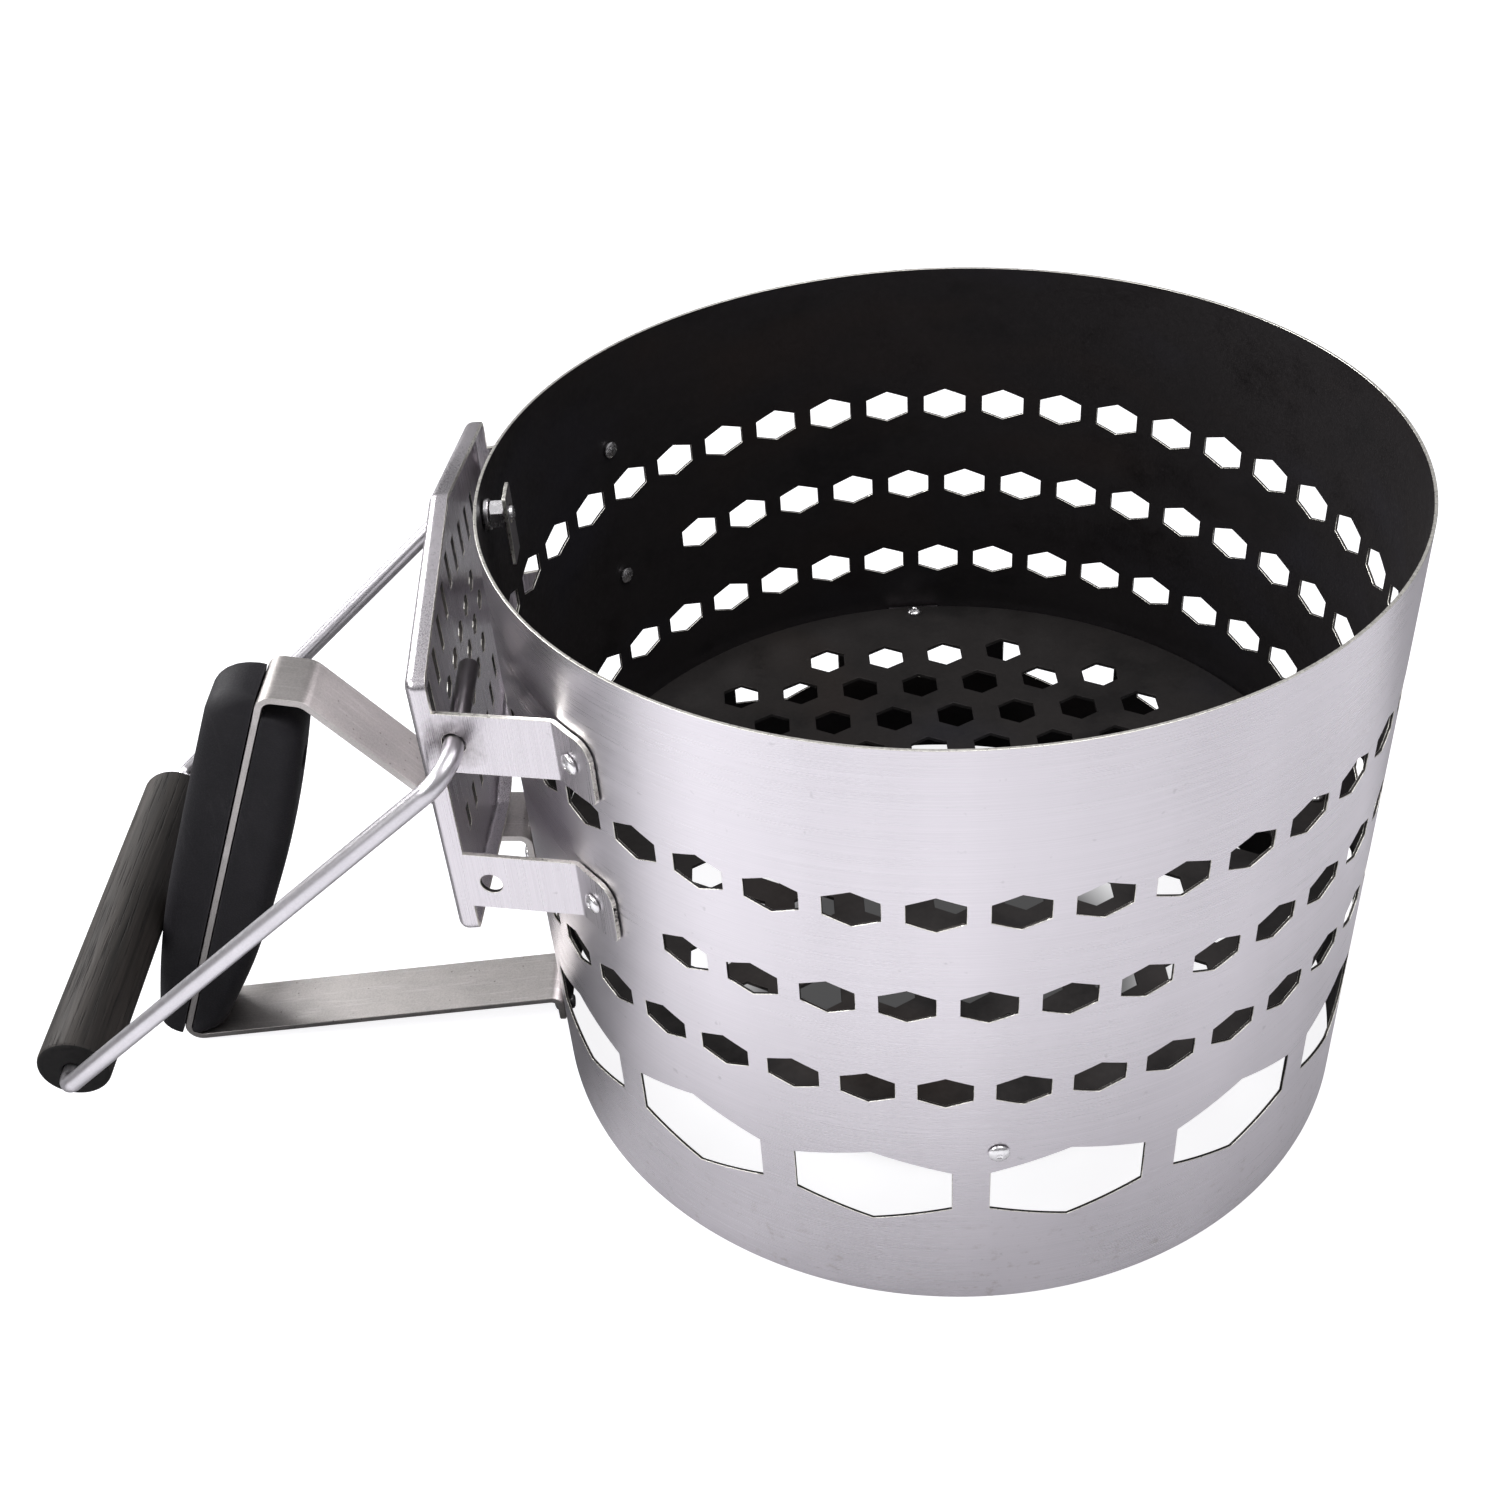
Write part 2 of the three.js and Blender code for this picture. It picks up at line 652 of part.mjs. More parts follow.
const spoolRim = spoolEdge.map(([side, end]) => [spoolRadius - side, spoolHalfLength - end]);
add('bail_spool', turned([
  [spoolBore, -spoolHalfLength],
  ...spoolRim.map(([radius, along]) => [radius, -along]),
  ...spoolRim.toReversed(),
  [spoolBore, spoolHalfLength],
], 32, new THREE.Vector3(spoolAxis.x, spoolShift, spoolAxis.z), Y), darkWood);

// ---------------------------------------------------------------------------------------------------------------
// Charcoal grate on four angle brackets

const brackets = [
  { name: 'front', angle: 0, upright: true },
  { name: 'right', angle: 91, upright: false },
  { name: 'back', angle: 180, upright: false },
  { name: 'left', angle: 269, upright: false },
];
const grateLow = bracket.shelf + bracket.sheet + gap;

function grate() {
  const disc = plate(polygon(regularPolygon(64, grateRadius)), grateLow, grateLow + grateSheet);
  const cutters = [];
  const rowHeight = grateHolePitch * Math.sqrt(3) / 2;
  const span = Math.ceil(grateHoleLimit / rowHeight);
  for (let row = -span; row <= span; row += 1) {
    for (let column = -span; column <= span; column += 1) {
      const x = (column + (Math.abs(row) % 2) / 2) * grateHolePitch;
      const y = row * rowHeight;
      if (Math.hypot(x, y) <= grateHoleLimit) {
        const hole = regularPolygon(6, grateHoleRadius, Math.PI / 6).map(([u, v]) => [u + x, v + y]);
        cutters.push(plate(polygon(hole), grateLow - 1, grateLow + grateSheet + 1));
      }
    }
  }
  for (const { angle } of brackets) {
    const { at } = around(angle);
    cutters.push(rod(rivetHole, at(shelfRivetRadius, grateLow - 1), at(shelfRivetRadius, grateLow + 3)));
  }
  return disc.subtract(Manifold.union(cutters));
}

// An angle bracket: its leg lies on the wall, up from the shelf at the strap's foot and down from it elsewhere.
function angleBracket({ angle, upright }) {
  const { sheet, width, face, reach, shelf, drop, rise } = bracket;
  const { outward, sideways, at } = around(angle);
  const shelfTop = shelf + sheet;
  const leg = upright ? [shelf, shelf + rise] : [shelfTop - drop - sheet, shelfTop];
  const outline = upright
    ? [[reach, shelf], [face, shelf], [face, leg[1]], [face - sheet, leg[1]], [face - sheet, shelfTop],
      [reach, shelfTop]]
    : [[reach, shelf], [face - sheet, shelf], [face - sheet, leg[0]], [face, leg[0]], [face, shelfTop],
      [reach, shelfTop]];
  let solid = prism(polygon(outline), width, outward, Z, sideways.clone().multiplyScalar(width / 2));
  const shelfHole = at(shelfRivetRadius, 0);
  solid = solid.subtract(rod(rivetHole, shelfHole.clone().setZ(shelf - 1), shelfHole.clone().setZ(shelfTop + 1)));
  const legHoles = upright
    ? [[strapRivetSpread, strapFootRivets[1].z], [-strapRivetSpread, strapFootRivets[1].z]]
    : [[0, bracketRivetZ]];
  for (const [offset, z] of legHoles) {
    solid = solid.subtract(rod(rivetHole, at(face - 5, z, offset), at(face + 2, z, offset)));
  }
  return solid;
}

add('charcoal_grate', grate(), darkSteel);

for (const place of brackets) {
  const { outward, at } = around(place.angle);
  add(`grate_bracket_${place.name}`, angleBracket(place), brushedSteel);
  const top = at(shelfRivetRadius, grateLow + grateSheet + gap);
  const shelfGrip = top.z - (bracket.shelf - gap);
  add(`grate_rivet_${place.name}`, rivet(top, Z, shelfGrip, footRivet), fastenerSteel);
  if (!place.upright) {
    const seat = at(drumRadius + gap, bracketRivetZ);
    const wallGrip = drumRadius + gap - (bracket.face - bracket.sheet - gap);
    add(`bracket_rivet_${place.name}`, rivet(seat, outward, wallGrip, wallRivet), fastenerSteel);
    wallHoles.push({ angle: place.angle, z: bracketRivetZ, offset: 0, radius: rivetHole });
  }
}

// ---------------------------------------------------------------------------------------------------------------
// Inner plate under the rim at the handle's side, on a screw through the wall that ends in the plate

const washerFace = drumRadius - drumWall - 2 * gap;
const spacerFace = washerFace - plateWasher.thickness - gap;
const plateFace = spacerFace - plateNut.thickness - gap;
const plateAxis = (x) => new THREE.Vector3(x, 0, plateScrew.z);

// A piece with its outer face at `face`, bored for the screw.
function onPlateScrew(solid, face, thickness) {
  return solid.subtract(rod(plateScrew.hole, plateAxis(face - thickness - 1), plateAxis(face + 1)));
}

function spacerNut() {
  const outline = polygon(regularPolygon(6, plateNut.acrossFlats / Math.sqrt(3)));
  const { thickness } = plateNut;
  return onPlateScrew(prism(outline, thickness, Y, Z, plateAxis(spacerFace - thickness)), spacerFace, thickness);
}

add('plate_washer', onPlateScrew(
  rod(plateWasher.radius, plateAxis(washerFace - plateWasher.thickness), plateAxis(washerFace), 24),
  washerFace,
  plateWasher.thickness,
), fastenerSteel);
add('plate_spacer_nut', spacerNut(), fastenerSteel);

const plateShape = rectangle(-innerPlate.width / 2, innerPlate.low, innerPlate.width / 2, innerPlate.high);
add('inner_plate', onPlateScrew(
  prism(plateShape, innerPlate.sheet, Y, Z, X.clone().multiplyScalar(plateFace - innerPlate.sheet)),
  plateFace,
  innerPlate.sheet,
), brushedSteel);

const screwSeat = drumRadius + gap;
const screwTip = plateFace - innerPlate.sheet - plateScrew.tip;
const { radius: screwHead, rim: screwRim, crown: screwCrown, height: screwHeight } = plateScrewHead;
add('plate_screw', turned([
  [0, 0], [screwHead, 0], [screwHead, screwRim], [screwCrown, screwHeight], [0, screwHeight],
], 20, plateAxis(screwSeat), X).add(rod(plateScrew.shank, plateAxis(screwTip), plateAxis(screwSeat + screwRim))),
fastenerSteel);
wallHoles.push({ angle: 0, z: plateScrew.z, offset: 0, radius: plateScrew.hole });

// ---------------------------------------------------------------------------------------------------------------
// Drum shell

function drumShell() {
  const inside = drumRadius - drumWall;
  const tube = plate(polygon(regularPolygon(drumSides, drumRadius)), 0, drumHeight)
    .subtract(plate(polygon(regularPolygon(drumSides, inside)), -1, drumHeight + 1));
  const cutters = [];
  for (const { z, pitch, start, first, count, hexagon: outline } of holeRows) {
    for (let k = first; k < first + count; k += 1) {
      const { outward, sideways } = around(start + pitch * k);
      const origin = outward.clone().multiplyScalar(drumRadius - 14).setZ(z);
      cutters.push(prism(hexagon(outline), 18, sideways, Z, origin));
    }
  }
  for (const { angle, z, offset, radius } of wallHoles) {
    const { at } = around(angle);
    cutters.push(rod(radius, at(drumRadius - 5, z, offset), at(drumRadius + 3, z, offset)));
  }
  return tube.subtract(Manifold.union(cutters));
}

add('drum_shell', drumShell(), brushedSteel);

assembly.rotation.z = Math.PI;
assembly.updateMatrixWorld(true);
const footprint = new THREE.Box3().setFromObject(assembly);
assembly.position.x = -(footprint.min.x + footprint.max.x) / 2;

export default assembly;
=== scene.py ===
"""The finished look of a chimney charcoal starter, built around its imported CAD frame.

Lengths are in millimetres in a local frame: the drum's axis is z, the handle points along +x and
the camera's side is +y. placed() turns that into the CAD frame, in metres. Angles are in degrees
from the handle, towards +y.
"""

import json
import math

import bmesh
import bpy
import numpy as np
from mathutils import Matrix, Vector
from mathutils.geometry import delaunay_2d_cdt


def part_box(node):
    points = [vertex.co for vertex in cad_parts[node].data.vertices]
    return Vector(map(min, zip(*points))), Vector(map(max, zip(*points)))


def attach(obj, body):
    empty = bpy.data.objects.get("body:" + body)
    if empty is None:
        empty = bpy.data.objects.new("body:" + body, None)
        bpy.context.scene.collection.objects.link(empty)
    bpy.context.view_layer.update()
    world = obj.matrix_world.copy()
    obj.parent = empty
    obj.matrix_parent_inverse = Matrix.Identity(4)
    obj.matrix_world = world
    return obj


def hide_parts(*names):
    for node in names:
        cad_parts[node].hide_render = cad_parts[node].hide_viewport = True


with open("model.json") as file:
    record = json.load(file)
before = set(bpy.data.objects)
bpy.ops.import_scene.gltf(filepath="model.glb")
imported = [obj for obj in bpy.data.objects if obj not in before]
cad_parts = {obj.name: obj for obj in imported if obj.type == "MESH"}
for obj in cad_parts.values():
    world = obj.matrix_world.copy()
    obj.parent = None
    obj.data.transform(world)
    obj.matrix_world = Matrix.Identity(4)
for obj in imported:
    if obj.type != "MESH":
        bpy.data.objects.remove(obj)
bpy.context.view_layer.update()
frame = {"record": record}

# ----------------------------------------------------------------------
# Driving dimensions, the same as the CAD part's. The main ones are read from the frame.

MM = 0.001
record = frame["record"]
body_of = {node: body for body, nodes in record["behaviour"]["bodies"].items() for node in nodes}

drum_low, drum_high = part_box("drum_shell")
drum_axis = (drum_low.x + drum_high.x) / 2
DRUM_RADIUS = (drum_high.y - drum_low.y) / 2 / MM
DRUM_HEIGHT = drum_high.z / MM
DRUM_WALL = 1.0

VENT = {"width": 15.6, "height": 12.0, "side": 6.2}
WINDOW = {"width": 47.4, "height": 31.0, "side": 16.5}
HOLE_ROWS = [
    {"z": 165.2, "pitch": 9.0, "start": 2.65, "first": 0, "count": 40, "hexagon": VENT},
    {"z": 131.0, "pitch": 9.0, "start": -0.55, "first": 6, "count": 29, "hexagon": VENT},
    {"z": 96.5, "pitch": 9.0, "start": 3.7, "first": 0, "count": 40, "hexagon": VENT},
    {"z": 52.7, "pitch": 24.0, "start": 3.8, "first": 0, "count": 15, "hexagon": WINDOW},
]
DRUM_SEAM = 16.5                 # an angle that no hole crosses

SHIELD_SHEET = 1.5
SHIELD_FACE = (drum_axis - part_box("heat_shield")[0].x) / MM
SHIELD_FLANGE = 6.2
SHIELD_FOLD = 2.25               # radius of the folds' centre line
SHIELD_HALF_WIDTH = 76.4
SHIELD_CORNER = 4.0
SHIELD_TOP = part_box("heat_shield")[1].z / MM
SHIELD_SHOULDER = 203.4
SHIELD_HIP = 109.7
SHIELD_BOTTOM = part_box("heat_shield")[0].z / MM
FOOT_RADIUS = DRUM_RADIUS + 0.4
FOOT_BEND, FOOT_RIVET_ANGLE, FOOT_END = 35.9, 39.0, 42.9
FOOT_CORNER_TOP, FOOT_CORNER_BOTTOM = 6.0, 2.5
ARM_HEIGHT = 20.8
ARM_MIDDLES = {"upper": 182.7, "lower": 130.5}
ARM_HOLES = {"upper": (143.6, 183.0), "lower": (141.4, 130.0)}
ARM_HOLE_RADIUS = 3.5
SLOT_ROWS = [
    {"each": 4, "pitch": 13.5, "middle": 191.5, "drop": 2.5, "width": 4.5, "height": 12.0},
    {"each": 3, "pitch": 13.5, "middle": 118.5, "drop": -2.5, "width": 4.5, "height": 9.0},
]
HEXAGON_ROWS, HEXAGON_PITCH, HEXAGON_STEP, HEXAGON_MIDDLE = (5, 6, 5), 15.0, 12.5, 156.0
SMALL_HEXAGON = {"width": 8.0, "height": 7.0, "side": 3.5}

STRAP_WIDTH = 24.0
STRAP_SHEET = 2.5
STRAP_LINE = [
    (141.9, 0.6, 0), (141.9, 10.7, 3.6), (283.9, 2.0, 4.5), (218.8, 155.2, 4.5),
    (205.8, 152.1, 6), (157.2, 91.2, 7), (141.9, 89.9, 3.6), (141.9, 70.4, 0),
]
STRAP_RIVET_SPREAD = 6.5
STRAP_RIVET_HEIGHTS = {"lower": 4.1, "upper": 79.5}

GRIP_WIDTH = 26.0
GRIP_START = 3.0
GRIP_OUTER = {"side": 1, "end": 165.3, "lean": 0.0, "most": 17.3, "at": 80.0,
              "below": 0.00108, "above": 0.0001, "upper": 12.0}
GRIP_INNER = {"side": -1, "end": 159.5, "lean": 0.5, "most": 19.5, "at": 90.0,
              "below": 0.00095, "above": 0.00095, "upper": 6.0}
GRIP_EDGE = 7.0
GRIP_LEAN_FADE, GRIP_LEAST_WALL, GRIP_TAPER = 40.0, 1.0, 0.4
GRIP_END_LOWER = 3.0
GRIP_SCREWS = {"lower": 23.5, "upper": 138.0}
SCREW_HEAD, SCREW_HEAD_HEIGHT, SCREW_SHANK, SCREW_TIP, SCREW_RECESS = 4.0, 3.0, 2.2, 10.5, 5.0

spool_low, spool_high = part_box("bail_spool")
SPOOL_X = (drum_axis - (spool_low.x + spool_high.x) / 2) / MM
SPOOL_Y = -(spool_low.y + spool_high.y) / 2 / MM
SPOOL_Z = (spool_low.z + spool_high.z) / 2 / MM
SPOOL_RADIUS = (spool_high.z - spool_low.z) / 2 / MM
SPOOL_HALF = (spool_high.y - spool_low.y) / 2 / MM
SPOOL_BORE = 3.4
WIRE_RADIUS = 3.0
WIRE_END = 40.0
WIRE_HALF = {"pivot": 91.2, "spool": 81.0}
WIRE_BENDS = {"pivot": 10.0, "spool": 5.0}
PIVOT_X, PIVOT_Z = ARM_HOLES["upper"]

GRATE_RADIUS = 133.5
GRATE_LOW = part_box("charcoal_grate")[0].z / MM
GRATE_SHEET = 1.5
GRATE_HOLE, GRATE_PITCH, GRATE_LIMIT = 7.5, 23.0, 108.0
BRACKETS = {"front": 0, "right": 91, "back": 180, "left": 269}
BRACKET = {"sheet": 1.5, "width": 20.0, "face": 138.1, "reach": 124.0,
           "shelf": 73.5, "rise": 12.5, "drop": 11.0}
BRACKET_RIVET_Z = 70.4
SHELF_RIVET_RADIUS = 129.5

RIVET_SHANK = 2.0
WALL_RIVET = {"head": 3.2, "height": 1.5, "tail": 2.9}
FOOT_RIVET = {"head": 2.9, "height": 1.5, "tail": 2.7}
GAP = 0.3
PLATE_SCREW_Z = 210.4
PLATE_WASHER, NUT_FLATS, SPACER_NUT, PLATE_BORE, SCREW_PAST = (5.0, 1.5), 8.0, 4.5, 2.9, 1.0
INNER_PLATE = {"width": 11.0, "sheet": 1.2, "low": 195.0, "high": 218.4}
CHAMFER = 0.18                   # cut edges of the sheets

FINE = 2    # how finely round shapes are divided


def placed(x, y, z):
    return Vector((drum_axis - x * MM, -y * MM, z * MM))


# ----------------------------------------------------------------------
# Meshes

def mesh_object(name, points, faces, materials, indices=None, normals=None, sharp=40.0):
    """An object from local points. Normals, where given, are local vectors for each vertex."""
    mesh = bpy.data.meshes.new(name)
    mesh.from_pydata([placed(*p) for p in points], [], faces)
    for material in materials:
        mesh.materials.append(material)
    if indices is not None:
        mesh.polygons.foreach_set("material_index", indices)
    mesh.polygons.foreach_set("use_smooth", [True] * len(mesh.polygons))
    mesh.update()
    if normals is None:
        bm = bmesh.new()
        bm.from_mesh(mesh)
        bmesh.ops.recalc_face_normals(bm, faces=bm.faces)
        bm.to_mesh(mesh)
        bm.free()
        mesh.set_sharp_from_angle(angle=math.radians(sharp))
    else:
        mesh.normals_split_custom_set_from_vertices([(-n[0], -n[1], n[2]) for n in normals])
    obj = bpy.data.objects.new(name, mesh)
    bpy.context.scene.collection.objects.link(obj)
    return obj


def stands_for(obj, *nodes):
    """The piece rides with these CAD nodes' body and is shown in their place."""
    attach(obj, body_of[nodes[0]])
    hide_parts(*nodes)
    return obj


def inside(polygon, points):
    """Which points lie in the polygon, by counting the edges a ray crosses."""
    corners = np.array(polygon, float)
    found = np.zeros(len(points), bool)
    for (ax, ay), (bx, by) in zip(corners, np.roll(corners, -1, axis=0)):
        crosses = (ay > points[:, 1]) != (by > points[:, 1])
        if ay != by:
            found ^= crosses & (points[:, 0] < (bx - ax) * (points[:, 1] - ay) / (by - ay) + ax)
    return found


def triangulate(outline, holes, lines):
    """Triangles of a flat outline with holes; lines are extra edges that the sheet bends along."""
    points, edges = [], []
    chains = [(chain, True) for chain in [outline, *holes]] + [(line, False) for line in lines]
    for chain, closed in chains:
        start, count = len(points), len(chain)
        points.extend(Vector(p) for p in chain)
        edges.extend((start + i, start + (i + 1) % count) for i in range(count if closed else count - 1))
    verts, _, faces, _, _, _ = delaunay_2d_cdt(points, edges, [], 0, 1e-5, False)
    flat = np.array([tuple(v) for v in verts])
    triangles = np.array([f for f in faces if len(f) == 3])
    middles = flat[triangles].mean(axis=1)
    keep = inside(outline, middles)
    for hole in holes:
        low, high = np.min(hole, axis=0), np.max(hole, axis=0)
        near = keep & np.all((middles > low) & (middles < high), axis=1)
        keep[np.flatnonzero(near)[inside(hole, middles[near])]] = False
    return flat, triangles[keep]


def unit(vector):
    return vector / max(np.linalg.norm(vector), 1e-12)


def sheet(name, outline, holes, lines, surface, thickness, materials, chamfer=CHAMFER):
    """A solid sheet with chamfered cut edges.

    surface(u, v, depth) is the local point at a depth from its outer face. The materials are for the
    outer face, the inner face, the cut edges and, if there is a fourth, the holes' walls.
    """
    flat, triangles = triangulate(outline, holes, lines)
    reach = np.ptp(flat, axis=0).max()
    outer = {i: np.array(surface(*flat[i], 0)) for i in np.unique(triangles)}
    merged, same = {}, {}
    for i, point in outer.items():
        same[i] = merged.setdefault(tuple(np.round(point, 3)), i)
    triangles = [tuple(same[i] for i in t) for t in triangles.tolist()]
    triangles = [t for t in triangles if len(set(t)) == 3]
    directions = {}
    for t in triangles:
        for a, b in zip(t, t[1:] + t[:1]):
            directions[(a, b)] = t
    rim = [(a, b) for (a, b) in directions if (b, a) not in directions]
    # At each rim vertex, the way out of the sheet that moves both of its edges by the same amount.
    out = {}
    for a, b in rim:
        t = [i for i in directions[(a, b)] if i not in (a, b)][0]
        along = unit(flat[b] - flat[a])
        if np.linalg.norm(flat[b] - flat[a]) > reach / 2:
            continue                      # it crosses the seam of a sheet that closes on itself
        normal = np.array([along[1], -along[0]])
        if np.dot(normal, flat[t] - flat[a]) > 0:
            normal = -normal
        for i in (a, b):
            out.setdefault(i, []).append(normal)
    mitre = {}
    for i, normals in out.items():
        first, last = normals[0], normals[-1]
        mitre[i] = (first + last) / max(1 + float(np.dot(first, last)), 0.35)

    points, normals, index = [], [], {}
    depths = {"outer": 0, "edge_outer": chamfer, "edge_inner": thickness - chamfer, "inner": thickness}

    def vertex(kind, i):
        key = (kind, i)
        if key not in index:
            move = mitre.get(i, np.zeros(2))
            depth = depths[kind]
            flat_point = flat[i] - (move * chamfer if kind in ("outer", "inner") else 0)
            point = np.array(surface(*flat_point, depth))
            face = unit(np.array(surface(*flat_point, 0)) - np.array(surface(*flat_point, thickness)))
            if kind == "outer":
                normal = face
            elif kind == "inner":
                normal = -face
            else:
                normal = unit(np.array(surface(*(flat[i] + unit(move) * 0.05), depth)) - point)
            index[key] = len(points)
            points.append(point)
            normals.append(normal)
        return index[key]

    faces, indices = [], []

    def face(corners, material):
        ids = [vertex(kind, i) for kind, i in corners]
        p = [points[k] for k in ids]
        turn = np.cross(p[1] - p[0], p[2] - p[0])
        if np.dot(turn, sum(normals[k] for k in ids)) < 0:
            ids.reverse()
        faces.append(ids)
        indices.append(material)

    for t in triangles:
        face([("outer", i) for i in t], 0)
        face([("inner", i) for i in t], 1)
    wall = len(materials) - 1
    boxes = [(np.min(hole, axis=0) - 0.01, np.max(hole, axis=0) + 0.01) for hole in holes]
    boxes = np.array(boxes).reshape(-1, 2, 2)
    for a, b in rim:
        middle = (flat[a] + flat[b]) / 2
        in_hole = np.any(np.all((middle > boxes[:, 0]) & (middle < boxes[:, 1]), axis=1))
        kinds = ("outer", "edge_outer", "edge_inner", "inner")
        for upper, lower, material in zip(kinds, kinds[1:], (2, wall if in_hole else 2, 2)):
            face([(upper, a), (upper, b), (lower, b), (lower, a)], material)
    return mesh_object(name, points, faces, materials, indices, normals)


def lathe(profile, origin, direction, segments, closed=False):
    """Points and faces of a profile of (radius, distance) turned about a direction through a local point."""
    along = unit(np.array(direction, float))
    side = unit(np.cross(along, (0.0, 0.0, 1.0) if abs(along[2]) < 0.9 else (1.0, 0.0, 0.0)))
    other = np.cross(along, side)
    points, rings = [], []
    for radius, height in profile:
        centre = np.array(origin, float) + along * height
        if radius < 1e-6:
            rings.append([len(points)] * segments)
            points.append(centre)
            continue
        rings.append([len(points) + k for k in range(segments)])
        for k in range(segments):
            angle = 2 * math.pi * k / segments
            points.append(centre + radius * (math.cos(angle) * side + math.sin(angle) * other))
    faces = []
    pairs = list(zip(rings, rings[1:])) + ([(rings[-1], rings[0])] if closed else [])
    for low, high in pairs:
        for k in range(segments):
            ring = [low[k], low[(k + 1) % segments], high[(k + 1) % segments], high[k]]
            corners = list(dict.fromkeys(ring))
            if len(corners) > 2:
                faces.append(corners)
    return points, faces


def rounded(corners, steps):
    """A path through corners of (point, radius), with an arc of that radius at each corner that has one."""
    path = []
    for k, (corner, radius) in enumerate(corners):
        corner = np.array(corner, float)
        if not radius:
            path.append(corner)
            continue
        before = unit(np.array(corners[k - 1][0], float) - corner)
        after = unit(np.array(corners[k + 1][0], float) - corner)
        half = math.acos(float(np.clip(np.dot(before, after), -1, 1))) / 2
        centre = corner + unit(before + after) * radius / math.sin(half)
        start = corner + before * radius / math.tan(half) - centre
        end = corner + after * radius / math.tan(half) - centre
        sweep = math.pi - 2 * half
        for i in range(steps + 1):
            t = i / steps
            between = math.sin((1 - t) * sweep) * start + math.sin(t * sweep) * end
            path.append(centre + between / math.sin(sweep))
    return path


class Path:
    """A flat line with the length along it; its normal is on the right hand of its direction."""

    def __init__(self, points):
        self.points = np.array(points, float)
        steps = np.linalg.norm(np.diff(self.points, axis=0), axis=1)
        self.lengths = np.concatenate([[0], np.cumsum(steps)])
        directions = np.diff(self.points, axis=0) / steps[:, None]
        ends = np.vstack([directions[:1], directions, directions[-1:]])
        middle = ends[:-1] + ends[1:]
        self.directions = middle / np.linalg.norm(middle, axis=1)[:, None]

    @property
    def length(self):
        return self.lengths[-1]

    def at(self, s, offset=0.0):
        s = min(max(s, 0.0), self.length)
        point = [np.interp(s, self.lengths, self.points[:, k]) for k in (0, 1)]
        direction = unit(np.array([np.interp(s, self.lengths, self.directions[:, k]) for k in (0, 1)]))
        return np.array(point) + offset * np.array([direction[1], -direction[0]])

    def nearest(self, point):
        steps = np.linspace(0, self.length, 4000)
        there = np.array([np.interp(steps, self.lengths, self.points[:, k]) for k in (0, 1)]).T
        return steps[int(np.argmin(np.linalg.norm(there - np.array(point), axis=1)))]


def around(degrees, radius, z=0.0, sideways=0.0):
    """A local point at an angle from the handle."""
    cos, sin = math.cos(math.radians(degrees)), math.sin(math.radians(degrees))
    return np.array([radius * cos - sideways * sin, radius * sin + sideways * cos, z])


def hexagon(shape, centre=(0, 0)):
    x, side, height = shape["width"] / 2, shape["side"] / 2, shape["height"] / 2
    corners = [(x, -side), (x, side), (0, height), (-x, side), (-x, -side), (0, -height)]
    return [(px + centre[0], py + centre[1]) for px, py in corners]


def ring(radius, centre=(0, 0), count=32, turn=0.0):
    angles = [turn + 2 * math.pi * k / count for k in range(count)]
    return [(centre[0] + radius * math.cos(a), centre[1] + radius * math.sin(a)) for a in angles]


def rectangle(left, low, right, high):
    return [(left, low), (right, low), (right, high), (left, high)]


# ----------------------------------------------------------------------
# Materials

